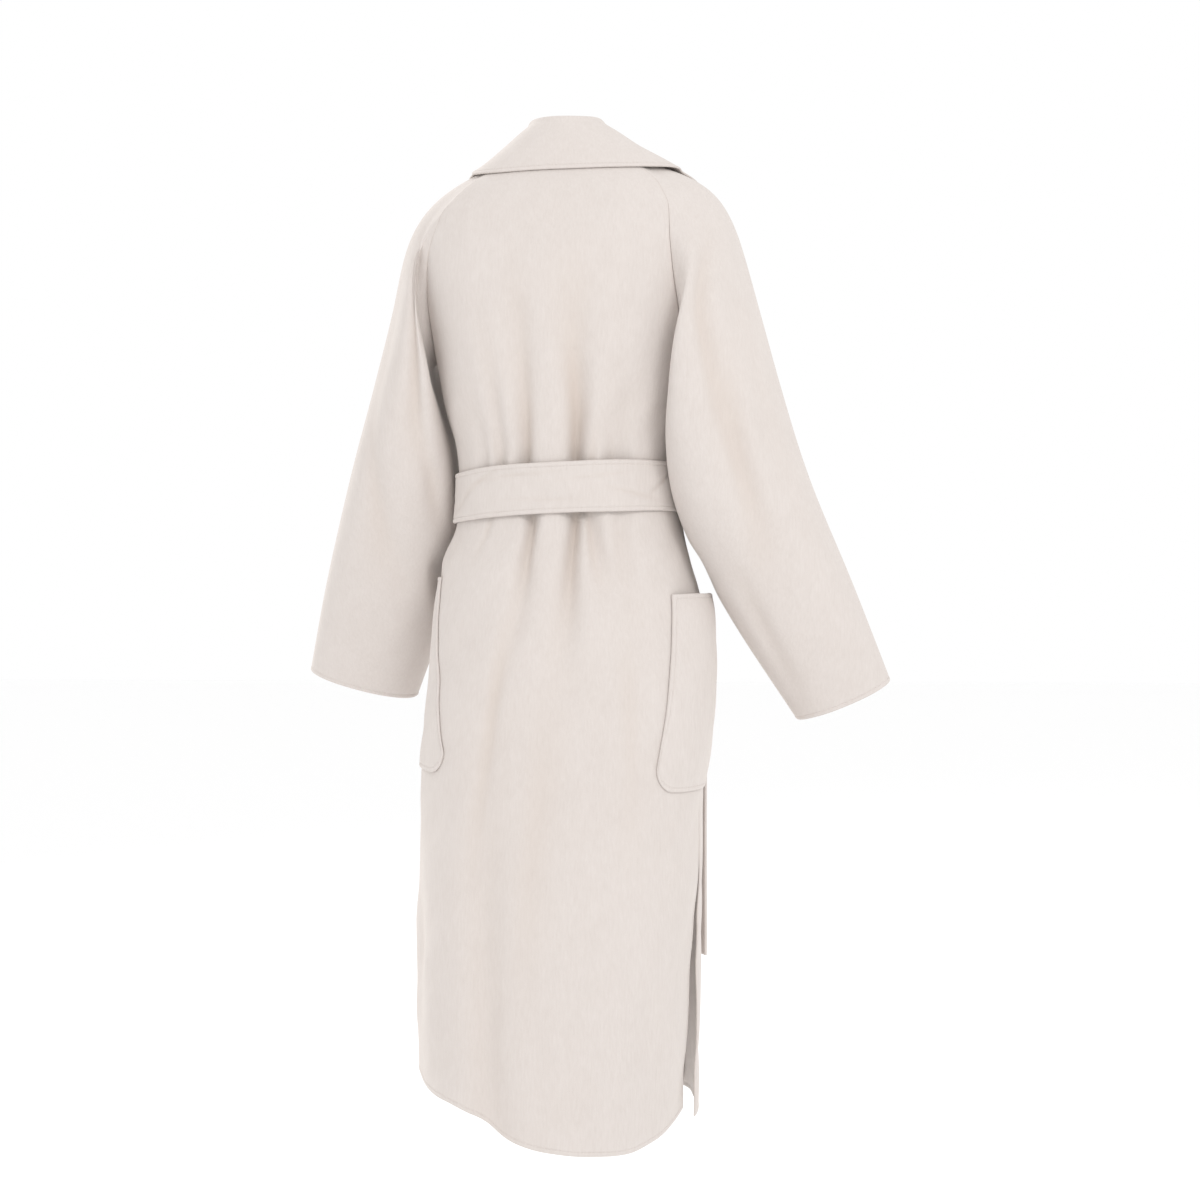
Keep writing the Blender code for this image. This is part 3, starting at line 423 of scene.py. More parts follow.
def folds_at(rows, at, down, round_trip):
    """How far folds carry the cloth out. round_trip is what at grows by, once round."""
    total = 0.0
    for from_at, mid_at, end_at, start, deep, end, width, depth in zip(*rows.values()):
        t = np.clip((down - start) / (end - start), 0, 1)
        deepest = (deep - start) / (end - start)
        along = np.where(t < deepest, ease(t / deepest), ease((1 - t) / (1 - deepest)))
        middle = from_at * (1 - t) * (1 - 2 * t) + mid_at * 4 * t * (1 - t) + end_at * t * (2 * t - 1)
        apart = (at - middle + round_trip / 2) % round_trip - round_trip / 2
        total = total + depth * along * bell(apart, width * (1.9 - 0.9 * along))
    return total


def swell(phi, z):
    """The swells fade out at the belt, at the seams of the sleeves and under the collar."""
    total = 0.0
    for count, up, start, height in zip(*SWELLS.values()):
        total = total + height * (np.sin(np.radians(phi) * count + z * up * 2 * np.pi + start) - 1)
    below = ease((UNDERARM_Z - z) / 0.08)
    near_middle = ease((34 - np.abs(phi)) / 16) * ease((-0.05 - z) / 0.06)
    off_belt = 1 - np.exp(-(((z - WAIST_Z) / 0.060) ** 4))
    return total * np.maximum(below, near_middle) * off_belt


def fold_height(phi, z):
    return folds_at(FOLDS, phi, z, 360) + folds_at(CREASES, phi, z, 360) + swell(phi, z)


def form(phi, z, folded=True):
    """A point of the body form."""
    phi, z = np.broadcast_arrays(np.asarray(phi, float), np.asarray(z, float))
    angle = np.radians(phi + ring["turn"](z))
    side, back = np.sin(angle), np.cos(angle)
    reach_x = np.where(side > 0, ring["left"](z), ring["right"](z))
    reach_y = np.where(back > 0, ring["back"](z), ring["front"](z))
    exponent = 2 / ring["square"](z)
    point = np.stack([reach_x * power(side, exponent), reach_y * power(back, exponent), z], axis=-1)
    if folded:
        outward = unit(np.stack([side / reach_x, back / reach_y, np.zeros_like(z)], axis=-1))
        point = point + outward * fold_height(phi, z)[..., None]
    return point


def form_normal(phi, z, folded=True):
    """The way out of the body form at each place."""
    dz, dphi = 0.002, 0.6
    z = np.minimum(z, -dz)
    across = form(phi + dphi, z, folded) - form(phi - dphi, z, folded)
    down = form(phi, z - dz, folded) - form(phi, z + dz, folded)
    return unit(np.cross(across, down))


def lay(phi, z, out=0.0, folded=True):
    """A point that lies out from the body form, square to it."""
    out = np.asarray(out, float)
    return form(phi, z, folded) + form_normal(phi, z, folded) * out[..., None]


def wrap_lift(phi, z):
    """How far the right front is lifted where it lies over the left one."""
    start = -(360 - wrap_edge(z))
    return np.where(wrap_edge(z) > 170, (WALL + LAYER) * ease((start + 20 - phi) / 16), 0.0)


def slit_shift(phi, z, side):
    """The two sides of a slit part: the back's edge falls in, the front's stands out."""
    down = ease((SLIT_TOP_Z - z) / (SLIT_TOP_Z - HEM_Z))
    near = bell(phi + 90, 15) + 0.3 * bell(phi - 90, 15)
    return down * near * {"back": -SLIT_FALLS_IN, "front": SLIT_STANDS_OUT}[side]


def hang(phi, z, hem):
    """The height at which a row of the skirt hangs: it tilts with the pockets and ends at the hem."""
    tilt = SKIRT_TILT * np.sin(np.radians(phi))
    to_pocket = ease((TILT_Z - z) / TILT_FADE)
    to_hem = ease((HEM_FOLLOW_Z - z) / (HEM_FOLLOW_Z - HEM_Z))
    return z + tilt * to_pocket + (hem(phi) - HEM_Z - tilt) * to_hem


def grid_normals(points, around):
    """The way out at each point of a grid of points whose rows run down and columns run round."""
    if around:
        across = np.roll(points, -1, axis=1) - np.roll(points, 1, axis=1)
    else:
        across = np.gradient(points, axis=1)
    down = np.gradient(points, axis=0)
    return unit(np.cross(across, down))


def outward_normals(tube):
    """The way out at each point of a tube, whichever way its columns run."""
    normals = grid_normals(tube, around=True)
    away = tube[-1] - tube[-1].mean(axis=0)
    return normals * np.sign((normals[-1] * away).sum())


SEAM_ANGLE = np.degrees(SEAM / 2 / 0.13)  # that half a seam's gap takes at the side of the body


def hand(side):
    return "left" if side > 0 else "right"


def edge_back(z, side):
    """The back panel's side edge: raglan seam above the underarm, side seam below it."""
    return side * np.where(z > UNDERARM_Z + 1e-6, raglan_back[hand(side)](z), 90 - SEAM_ANGLE)


def edge_front(z, side):
    return side * np.where(z > UNDERARM_Z + 1e-6, raglan_front[hand(side)](z), 90 + SEAM_ANGLE)


hem_back = columns_of(HEM_BACK, "phi")["z"]
hem_front = columns_of(HEM_FRONT, "phi")["z"]


def raglan_place(share, side):
    """(angle, height, lift) of the sleeve's upper edge. share runs 0 at the top, 0.5 underarm, 1."""
    key = hand(side)
    front = share > 0.5
    folded = np.where(front, 1 - share, share)
    along = np.clip((folded - NECK_SHARE) / (0.5 - NECK_SHARE), 0, 1)
    z = UNDERARM_Z * along
    at_seam = np.where(front, raglan_front[key](z), raglan_back[key](z))
    lift = np.where(front, raglan_front[key + "_lift"](z), raglan_back[key + "_lift"](z))
    top = (raglan_front[key](0.0) + raglan_back[key](0.0)) / 2
    on_neck = top + (at_seam - top) * np.clip(folded / NECK_SHARE, 0, 1)
    phi = np.where(folded < NECK_SHARE, on_neck, at_seam)
    return side * phi, z, lift


def sleeve_section(rows, k, share, side):
    """Section k of a sleeve: a rounded ring, from its outer side round its back."""
    row = {name: rows[name][k] for name in rows}
    angle = 2 * np.pi * share
    outer = np.array([side * row["outer_x"], 0, row["outer_z"]])
    inner = np.array([side * row["inner_x"], 0, row["inner_z"]])
    middle = (outer + inner) / 2 + np.array([0, (row["back_y"] + row["front_y"]) / 2, 0])
    half_depth = (row["back_y"] - row["front_y"]) / 2
    across = power(np.cos(angle), 0.9)[:, None] * (outer - inner) / 2
    deep = power(np.sin(angle), 0.9)
    lean = np.where(deep > 0, row["back_in"], row["front_in"]) * np.abs(deep)
    lower = row["droop"] * np.clip(np.sin(angle), 0, 1)
    return middle + across + np.stack([-side * lean, half_depth * deep, -lower], axis=1)


def hermite(a, b, leave, arrive, t):
    return (a * (1 + 2 * t) * (1 - t) ** 2 + b * t * t * (3 - 2 * t)
            + leave * t * (1 - t) ** 2 - arrive * t * t * (1 - t))


def clear_of_body(points, side, gap):
    """Moves points that are in the body, or nearer than the gap, straight out from its axis."""
    x, y, z = (points[..., i] for i in range(3))
    reach_x = np.where(x > 0, ring["left"](z), ring["right"](z))
    reach_y = np.where(y > 0, ring["back"](z), ring["front"](z))
    square = ring["square"](z)
    level = (np.abs(x / reach_x) ** square + np.abs(y / reach_y) ** square) ** (1 / square)
    phi = np.degrees(np.arctan2(power(x / reach_x, square / 2), power(y / reach_y, square / 2)))
    key = hand(side)
    from_back = np.abs(phi - ring["turn"](z))
    below = (z < UNDERARM_Z) | (from_back < raglan_back[key](z)) | (from_back > raglan_front[key](z))
    distance = np.hypot(x, y)
    surface = distance / level + np.maximum(fold_height(phi - ring["turn"](z), z), 0)
    over_belt = BELT_PROUD * np.exp(-(((z - WAIST_Z) / 0.055) ** 4))
    size = POCKET_LEFT if side > 0 else POCKET_RIGHT
    back, front = (np.mean(size[key]) for key in ("back", "front"))
    angle = np.clip((phi - ring["turn"](z) - back) / (front - back), -0.1, 1.1)
    over_pocket = (size["stand"] + WALL) * ease(2.5 - np.abs(angle - 0.5) * 2.4)
    over_pocket = over_pocket * ease((POCKET_ZONE[0] - z) / 0.03) * ease((z - POCKET_ZONE[1]) / 0.03)
    wanted = surface + gap + over_belt + over_pocket
    push = np.where(below & (distance < wanted), wanted / distance, 1.0)
    moved = points.copy()
    moved[..., 0] *= push
    moved[..., 1] *= push
    return moved


def leaving_place(shares, side):
    """Where the sleeve leaves the body form: over the shoulder it lies on the form for a while."""
    phi, z, _ = raglan_place(shares, side)
    top = raglan_place(np.zeros(1), side)[0]
    on_form = ease(1 - np.minimum(shares, 1 - shares) / 0.30)
    return phi + (top - phi) * on_form * 0.5, z + SHOULDER_Z * on_form, on_form


def sleeve_points(rows, side, shares):
    """The sleeve's outer surface without its folds, from the raglan seam to the cuff."""
    phi, z, lift = raglan_place(shares, side)
    start = form(phi, z, False)
    normal = form_normal(phi, z, False)
    ahead, behind = (form(*raglan_place((shares + step) % 1, side)[:2], False) for step in (1e-4, -1e-4))
    away = unit(np.cross(normal, behind - ahead)) * side
    underarm = np.abs(shares - 0.5) < 1e-6
    away = np.where(underarm[:, None], np.array([0.0, 0.0, 1.0]), away)
    start = start + away * RAGLAN_SEAM * np.where(underarm, 1.3, 1.0)[:, None]
    lift = lift[:, None]
    seam_out = unit(normal * (1 - lift) - away * lift)
    phi_leave, z_leave, on_form = leaving_place(shares, side)
    on_form = on_form[:, None]
    path = [start]
    for t in np.linspace(0, 1, LIE_STEPS + 1)[1:]:
        on_body = form(phi + (phi_leave - phi) * t, z + (z_leave - z) * t, False)
        path.append(on_body + away * RAGLAN_SEAM * (1 - t))
    travel = unit(path[-1] - path[-2] + away * 1e-5)
    leave = unit(away * (1 - lift) ** 2 + normal * lift + np.array([0, 0, -1]) * lift ** 2)
    leave = unit(leave * (1 - on_form) + travel * on_form)
    sections = [sleeve_section(rows, k, shares, side) for k in range(len(rows["outer_x"]))]
    length = np.linalg.norm(sections[0] - path[-1], axis=1, keepdims=True)
    arm = unit(sections[1] - sections[0])
    path += [hermite(path[LIE_STEPS], sections[0], leave * length * 1.15, arm * length * 1.1, t)
             for t in np.linspace(0, 1, REACH_STEPS + 1)[1:]]
    path = np.array(path)
    walked = lengths(path, 0)[0]
    lines = []
    for t in np.linspace(0, 1, CAP_ROWS + 1)[:-1]:
        lines.append(np.array([[np.interp(walked[-1, c] * t, walked[:, c], path[:, c, axis])
                                for axis in range(3)] for c in range(len(shares))]))
    slopes = [arm * 0.1]
    slopes += [(b - a) / 2 for a, b in zip(sections[:-2], sections[2:])]
    slopes += [sections[-1] - sections[-2]]
    for a, b, leaving, arriving in zip(sections[:-1], sections[1:], slopes[:-1], slopes[1:]):
        lines += [hermite(a, b, leaving, arriving, t) for t in np.arange(SECTION_ROWS) / SECTION_ROWS]
    lines.append(sections[-1])
    return np.array(lines), seam_out


def on_right(phi, z):
    """How far what lies on the fronts is lifted by the right one's wrap."""
    return np.where(phi < -90, wrap_lift(phi, z), 0.0)


def collar_points():
    """Stands up from the neckline and the front edges, rolls over and falls back on the coat."""
    neck = COLLAR["seam_phi"] / NECK_PHI
    path = np.where(COLLAR["seam_z"] < 0, np.sign(neck) * (1 - COLLAR["seam_z"]), neck)
    down = np.array([row for row in COLLAR_ROWS if row >= COLLAR["seam_z"][0]])
    down = np.append(down, COLLAR["seam_z"][0])
    up = np.append(COLLAR_ROWS, COLLAR["seam_z"][-1])
    station = np.concatenate([1 - down[::-1], np.linspace(1, -1, COLLAR_COLUMNS + 1), -(1 - up)])
    place = {name: smooth(path, COLLAR[name])(station) for name in COLLAR}
    down_front = place["seam_z"] < -1e-5
    free_edge = np.sign(place["seam_phi"]) * wrap_edge(place["seam_z"])
    seam = [np.where(down_front, free_edge, place["seam_phi"]), place["seam_z"]]
    edge = [place["edge_phi"], place["edge_z"]]
    base = lay(*seam, on_right(*seam), False)
    normal = form_normal(*seam, False)
    level = unit(normal * np.array([1, 1, 0]))
    along = unit(np.gradient(base, axis=0))
    neck_share = ease((place["stand"] - 0.008) / 0.017)[:, None]
    beyond = unit(unit(np.cross(normal, along)) * (1 - neck_share) + np.array([0, 0, 1]) * neck_share)
    outward = unit(normal * (1 - neck_share) + level * neck_share)
    foot = base - normal * WALL * (1 - neck_share) + beyond * SEAM * 2.2
    roll = WALL + ROLL_OPEN  # the fall's outer face from the stand's inner face
    stand = place["stand"][:, None]
    lean = place["lean"][:, None]
    lines = [foot + beyond * stand * share - outward * lean * share for share in COLLAR_STAND]
    for share in COLLAR_TURN:
        turn = np.pi * share
        out = roll / 2 * (1 - np.cos(turn)) - lean
        lines.append(foot + beyond * stand * (STAND_TOP + np.sin(turn) * ROLL_RISE) + outward * out)
    for share in COLLAR_FALL:
        phi = seam[0] + (edge[0] - seam[0]) * share
        z = seam[1] + (edge[1] - seam[1]) * share ** 1.7
        out = roll - WALL * (1 - neck_share[:, 0])
        out = out * (1 - share) + place["lift"] * share + FALL_BOW * np.sin(np.pi * share)
        sag = ((1 - share) ** place["tent"])[:, None]
        still_up = (beyond * stand * STAND_TOP - outward * lean) * sag
        lines.append(lay(phi, z, out + on_right(phi, z), False) + still_up)
    return np.array(lines), -outward


def pocket_points(size, rows, share):
    """A patch on the body form with two rounded lower corners; its mouth stands a little open."""
    rows, share = rows[:, None], share[None, :]
    down = (rows - rows[0]) / (rows[-1] - rows[0])
    back, front = (size[key][0] + (size[key][1] - size[key][0]) * down for key in ("back", "front"))
    phi = back + (front - back) * share
    width = np.linalg.norm(np.diff(form(phi[0], POCKET_BOTTOM, False), axis=0), axis=1).sum()
    from_side = np.minimum(share, 1 - share) * width
    inside = np.clip(POCKET_CORNER - from_side, 0, POCKET_CORNER)
    rise = POCKET_CORNER - np.sqrt(POCKET_CORNER ** 2 - inside ** 2)
    z = hang(phi, rows + rise * down ** 3, hem_front)
    bulge = size["stand"] * np.sin(np.pi * share ** size["lean"]) ** 0.7 * (1 - down ** 2.2)
    lift = SEAM * 3 + bulge
    return lay(phi, z, lift + WALL), lay(phi, z, lift)


def belt_height(phi):
    """The middle of the belt: it sits lower at the wearer's left and at the front."""
    angle = np.radians(phi)
    return WAIST_Z - BELT_DIP_LEFT * np.sin(angle) - BELT_DIP_FRONT * (1 - np.cos(angle)) / 2


def belt_out(phi):
    """The belt's inner face from the body form: it goes over both fronts where they overlap."""
    over = ease((np.abs(phi) - 112) / 18)
    return BELT_CLEAR + (WALL + LAYER) * over


def belt_points(phi, up):
    """The band's outer and inner faces; up runs from 1 at its top edge to -1 at its lower edge."""
    phi, up = phi[None, :], up[:, None]
    z = belt_height(phi) + up * BELT_HEIGHT / 2
    out = belt_out(phi) + BELT_BULGE * (1 - up ** 2)
    return lay(phi, z, out + BELT_WALL, False), lay(phi, z, out, False)


def belt_end_points(line, down, share):
    """A strip of the belt that hangs from the knot; share runs from -0.5 to 0.5 across it."""
    place = columns_of(line)
    z = line["z"].max() + (line["z"].min() - line["z"].max()) * down[:, None]
    phi = place["phi"](z)
    middle = lay(phi, z, place["out"](z), False)
    level = form_normal(phi, z, False) * np.array([1, 1, 0])
    across = unit(np.cross(level, np.array([0, 0, 1])))
    share = share[None, :, None]
    bow = (1 - 4 * share ** 2) * 0.002
    inner = middle + across * share * place["width"](z)[..., None] + unit(level) * bow
    return inner + unit(level) * BELT_WALL, inner


# ---- Cloth ---------------------------------------------------------------------------------------


def lengths(points, axis):
    """How far each point of a grid lies along its row or column, from its start and from its end."""
    steps = np.linalg.norm(np.diff(points, axis=axis), axis=2)
    total = np.cumsum(steps, axis=axis)
    zero = np.zeros_like(np.take(total, [0], axis=axis))
    from_start = np.concatenate([zero, total], axis=axis)
    return from_start, np.take(from_start, [-1], axis=axis) - from_start


def respaced(points, count, first, last):
    """The columns of a grid with new rows: close to both ends at given steps, even between them."""
    walked = lengths(points, 0)[0]
    columns = []
    for c in range(points.shape[1]):
        whole = walked[-1, c]
        near = first * min(1, 0.3 * whole / max(first[-1], 1e-9))
        far = whole - last[::-1] * min(1, 0.4 * whole / last[-1])
        at = np.concatenate([near, np.linspace(near[-1], far[0], count + 2)[1:-1], far])
        columns.append(np.stack([np.interp(at, walked[:, c], points[:, c, k]) for k in range(3)], axis=1))
    return np.stack(columns, axis=1)


# How far the cloth falls in or stands out along stitches, edges and seams, and over what breadth.
STITCH_DENT, STITCH_BREADTH = 0.00050, 0.0008
EDGE_PUFF, EDGE_BREADTH = 0.00030, 0.0017
SEAM_DENT, SEAM_BREADTH = 0.00030, 0.0018
PUFF_AT = 0.0028  # from a finished edge to where the cloth is thickest


def faces_of(points, normals, free, sewn, thick):
    """Both faces of the cloth. free and sewn say how far the nearest finished edge and seam are."""
    half = thick / 2
    rounding = 0.25 + 0.75 * np.sqrt(1 - (1 - np.clip(free / half, 0, 1)) ** 2)
    stitched = STITCH_DENT * bell(free - STITCH_IN, STITCH_BREADTH)
    puffed = EDGE_PUFF * bell(free - PUFF_AT, EDGE_BREADTH)
    seam = SEAM_DENT * bell(sewn, SEAM_BREADTH)
    middle = points - normals * half
    outer = middle + normals * (half * rounding + puffed - stitched - seam)[..., None]
    inner = middle - normals * (half * rounding + puffed * 0.4 - stitched * 0.6)[..., None]
    return outer, inner


def wall(name, outer, inner, painted_shade, around=False):
    """A closed wall of quads between two grids of points, with a grid of painted shade: 1 where the creases
    and seams are painted darkest.
    """
    rows, columns = outer.shape[:2]
    half = rows * columns
    index = np.arange(half).reshape(rows, columns)
    if around:
        index = np.concatenate([index, index[:, :1]], axis=1)

    def strip(first, second):
        return np.stack([first[:-1], first[1:], second[1:], second[:-1]], axis=-1).reshape(-1, 4)

    grid = np.concatenate([strip(a, b) for a, b in zip(index[:-1], index[1:])])
    quads = [grid, grid[:, ::-1] + half]
    rims = [(index[0] + half, index[0]), (index[-1], index[-1] + half)]
    if not around:
        rims += [(index[:, 0], index[:, 0] + half), (index[:, -1] + half, index[:, -1])]
    quads += [strip(a, b) for a, b in rims]
    points = np.concatenate([outer.reshape(-1, 3), inner.reshape(-1, 3)])
    faces = np.concatenate(quads)
    a, b, c, d = (points[faces[:, k]] for k in range(4))
    if np.einsum("ij,ij->", a, np.cross(b, c) + np.cross(c, d)) < 0:
        faces = faces[:, ::-1]  # so that they look outwards
    made = piece(name, points, faces.tolist())
    # The painted shade of creases and seams goes on each point of both faces, for the wool's colour.
    values = np.tile(painted_shade.ravel(), 2).astype(np.float32)
    made.data.attributes.new("painted_shade", "FLOAT", "POINT").data.foreach_set("value", values)
    return made


def piece(name, points, faces):
    """A smooth piece that rides on the coat."""
    mesh = bpy.data.meshes.new(name)
    mesh.from_pydata(points.tolist(), [], faces)
    mesh.shade_smooth()
    made = bpy.data.objects.new(name, mesh)
    bpy.context.scene.collection.objects.link(made)
    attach(made, "root")
    return made


# ---- Stitching -----------------------------------------------------------------------------------

STITCH_PITCH = 0.0044
STITCH_LENGTH = 0.0029
THREAD = 0.00028  # half its thickness
THREAD_SIDES = 5


def stitch_row(path, normals):
    """The stitches along a line that lies in its groove: short rounded bars, as (points, faces)."""
    step = np.linalg.norm(np.diff(path, axis=0), axis=1)
    walked = np.concatenate([[0], np.cumsum(step)])
    count = int(walked[-1] / STITCH_PITCH)
    centre = (np.arange(count) + 0.5) * STITCH_PITCH
    at = centre[:, None] + np.array([-0.5, -0.3, 0.3, 0.5])[None, :] * STITCH_LENGTH
    point = np.stack([np.interp(at, walked, path[:, k]) for k in range(3)], axis=-1)
    out = unit(np.stack([np.interp(at, walked, normals[:, k]) for k in range(3)], axis=-1))
    along = unit(point[:, -1] - point[:, 0])[:, None, :]
    side = unit(np.cross(along, out))
    turn = np.radians(np.arange(THREAD_SIDES) * 360 / THREAD_SIDES)
    wide = np.array([0.35, 1.0, 1.0, 0.35])[None, :, None, None] * THREAD
    sink = np.array([-0.9, 0.25, 0.25, -0.9])[None, :, None, None] * THREAD
    ring_points = (point[:, :, None] + out[:, :, None] * (sink + wide * np.sin(turn)[None, None, :, None])
                   + side[:, :, None] * wide * 1.25 * np.cos(turn)[None, None, :, None])
    first = np.arange(4 * THREAD_SIDES).reshape(4, THREAD_SIDES)
    quads = []
    for a, b in zip(first[:-1], first[1:]):
        quads += [(a[k - 1], b[k - 1], b[k], a[k]) for k in (1, 2, 3, 4, 0)]
    for end in (first[0], first[-1][::-1]):
        quads += [(end[0], end[1], end[2], end[3]), (end[0], end[3], end[4], end[4])]
    faces = (np.array(quads)[None] + (np.arange(count) * first.size)[:, None, None]).reshape(-1, 4)
    return ring_points.reshape(-1, 3), faces


def stitching(name, rows):
    """One piece of all the stitches along some lines."""
    points, faces, start = [], [], 0
    for path, normals in rows:
        made, quads = stitch_row(path, normals)
        points.append(made)
        faces += [tuple(dict.fromkeys(face)) for face in (quads + start).tolist()]
        start += len(made)
    return piece(name, np.concatenate(points), faces)


def stitch_line(face, normals, distance, axis, held=slice(None), around=False):
    """A line at STITCH_IN from an edge, and the way out along it. distance grows from that edge."""
    away = np.moveaxis(distance, axis, 0)
    lines = []
    for grid in (np.moveaxis(face, axis, 0), np.moveaxis(normals, axis, 0)):
        line = []
        for c in range(away.shape[1]):
            order = np.argsort(away[:, c])
            line.append([np.interp(STITCH_IN, away[order, c], grid[order, c, k]) for k in range(3)])
        line = np.array(line)[held]
        lines.append(np.concatenate([line, line[:1]]) if around else line)
    return tuple(lines)


# ---- Body panels ---------------------------------------------------------------------------------


def panel(name, low, high, hem, out, count, finished_low, finished_high):
    """A body panel between two edge angles. finished is 1 where an edge is free and 0 where it is sewn.

    In free an edge that is sewn counts as a metre further away, and in sewn one that is free does.
    """
    z = PANEL_Z[:, None]
    probe = low(z) + (high(z) - low(z)) * np.linspace(0, 1, 41)[None, :]
    width = lengths(form(probe, z), 1)[0][:, -1:]
    near, far = FREE_STEPS[None, :] / width, 1 - FREE_STEPS[None, ::-1] / width
    between = near[:, -1:] + (far[:, :1] - near[:, -1:]) * np.linspace(0, 1, count)[None, 1:-1]
    share = np.concatenate([near, between, far], axis=1)
    phi = low(z) + (high(z) - low(z)) * share
    height = hang(phi, z, hem)
    points = lay(phi, height, out(phi, height))
    normals = form_normal(phi, height)
    from_low, from_high = lengths(points, 1)
    from_hem = lengths(points, 0)[1]
    free_low = from_low + (1 - finished_low(z))
    free_high = from_high + (1 - finished_high(z))
    free = np.minimum(np.minimum(free_low, free_high), from_hem)
    sewn = np.minimum(from_low + finished_low(z), from_high + finished_high(z))
    outer, inner = faces_of(points, normals, free, sewn, WALL)
    # Painted shade: darker, warmer colour in the narrow creases, less in the wider folds and a little along
    # the seams.
    painted_shade = np.clip(-folds_at(CREASES, phi, height, 360) / 0.007, 0, 1)
    painted_shade = np.maximum(painted_shade, 0.25 * np.clip(-fold_height(phi, height) / 0.012, 0, 1))
    made = wall(name, outer, inner, painted_shade=np.maximum(painted_shade, 0.3 * bell(sewn, SEAM_SHADE)))
    rows = [stitch_line(outer, normals, from_hem, 0, slice(14, -14))]
    for away, finished in ((from_low, finished_low), (from_high, finished_high)):
        held = (finished(z)[:, 0] > 0.9) & (PANEL_Z > HEM_Z + 0.004)
        if held.sum() > 4:
            rows.append(stitch_line(outer, normals, away, 1, held))
    return made, rows


def slit_edge(z):
    return ease((SLIT_TOP_Z - z) / 0.006)


def free_edge(z):
    return np.ones_like(z)


pieces = {}
threads = {}
pieces["back"], threads["back"] = panel(
    "back_cloth", lambda z: edge_back(z, -1), lambda z: edge_back(z, 1), hem_back,
    lambda phi, z: slit_shift(phi, z, "back"), BACK_COLUMNS, slit_edge, slit_edge)
pieces["front_left"], threads["front_left"] = panel(
    "front_left_cloth", lambda z: edge_front(z, 1), wrap_edge, hem_front,
    lambda phi, z: slit_shift(phi, z, "front"), FRONT_COLUMNS, slit_edge, free_edge)
pieces["front_right"], threads["front_right"] = panel(
    "front_right_cloth", lambda z: -wrap_edge(z), lambda z: edge_front(z, -1), hem_front,
    lambda phi, z: wrap_lift(phi, z) + slit_shift(phi, z, "front"), FRONT_COLUMNS, free_edge, slit_edge)

# ---- Sleeves -------------------------------------------------------------------------------------


def softened(points, passes):
    """The sleeve's grid evened out, but for its seam and its cuff, so that it turns without a kink."""
    from_seam, from_cuff = lengths(points, 0)
    hold = (ease((from_seam - 0.004) / 0.03) * ease((from_cuff - 0.02) / 0.25))[..., None]
    for _ in range(passes):
        along = points.copy()
        along[1:-1] = (points[:-2] + 2 * points[1:-1] + points[2:]) / 4
        around = (np.roll(points, 1, axis=1) + 2 * points + np.roll(points, -1, axis=1)) / 4
        points = points + ((along + around) / 2 - points) * hold
    return points


def drawn_to_seam(points, last):
    """The rows next to the seam laid again, in one even curve from the seam to the last of them."""
    whole = lengths(points[:last + 1], 0)[0]
    share = (whole / whole[-1])[..., None]
    first, end = points[0], points[last]
    reach = np.linalg.norm(end - first, axis=1, keepdims=True)
    bend = end - unit(points[last + 2] - points[last]) * reach / 2
    curve = first * (1 - share) ** 2 + bend * 2 * share * (1 - share) + end * share ** 2
    return np.concatenate([curve, points[last + 1:]])


SOFT_PASSES = 40  # over a sleeve before it has its folds
FOLDED_PASSES = {1: 26, -1: 8}  # after that: the left sleeve hangs softer


def sleeve(name, rows, side):
    shares = np.linspace(0, 1, SLEEVE_COLUMNS + 1)[:-1]
    base, seam_out = sleeve_points(rows, side, shares)
    points = softened(respaced(base, SLEEVE_ROWS, SEWN_STEPS, FREE_STEPS), SOFT_PASSES)
    points = respaced(points, SLEEVE_ROWS, SEWN_STEPS, FREE_STEPS)
    walked = lengths(points, 0)[0]
    folds = SLEEVE_FOLDS_LEFT if side > 0 else SLEEVE_FOLDS_RIGHT
    rise = folds_at(folds, shares[None, :], walked / walked[-1], 1) * SLEEVE_FOLD_GAIN
    points = points + outward_normals(points) * rise[..., None]
    points[1:] = clear_of_body(points[1:], side, SLEEVE_CLEAR)
    points = softened(points, FOLDED_PASSES[side])
    points[1:] = clear_of_body(points[1:], side, SLEEVE_CLEAR * 0.6)
    points = drawn_to_seam(softened(points, 2), 9)
    normals = outward_normals(points)
    normals[0] = seam_out
    from_seam, from_cuff = lengths(points, 0)
    girth = np.linalg.norm(np.roll(points, -1, axis=1) - points, axis=2).sum(axis=1)[:, None]
    from_under = np.abs(shares[None, :] - 0.5) * girth
    outer, inner = faces_of(points, normals, from_cuff, np.minimum(from_seam, from_under), WALL)
    # Painted shade: darker, warmer colour along the raglan seam and in the valleys of the folds.
    painted_shade = np.maximum(0.3 * bell(from_seam, SEAM_SHADE), np.clip(-rise / 0.022, 0, 0.6))
    made = wall(name, outer, inner, around=True, painted_shade=painted_shade)
    return made, [stitch_line(outer, normals, from_cuff, 0, around=True)]


pieces["sleeve_left"], threads["sleeve_left"] = sleeve("sleeve_left_cloth", SLEEVE_LEFT, 1)
pieces["sleeve_right"], threads["sleeve_right"] = sleeve("sleeve_right_cloth", SLEEVE_RIGHT, -1)

# ---- Collar --------------------------------------------------------------------------------------


def rolled(points, top, landing):
    """The collar's grid with an even roll, from its top row to the row where the fall lands."""
    leave = unit(points[top + 1] - points[top - 1])
    arrive = unit(points[landing + 2] - points[landing])
    reach = np.linalg.norm(points[landing] - points[top], axis=1, keepdims=True)
    roll = [hermite(points[top], points[landing], leave * reach, arrive * reach, t)
            for t in np.linspace(0, 1, ROLL_STEPS + 1)[1:-1]]
    fall = respaced(points[landing:], FALL_ROWS, SEWN_STEPS[:1], FREE_STEPS)
    return np.concatenate([points[:top + 1], roll, fall])


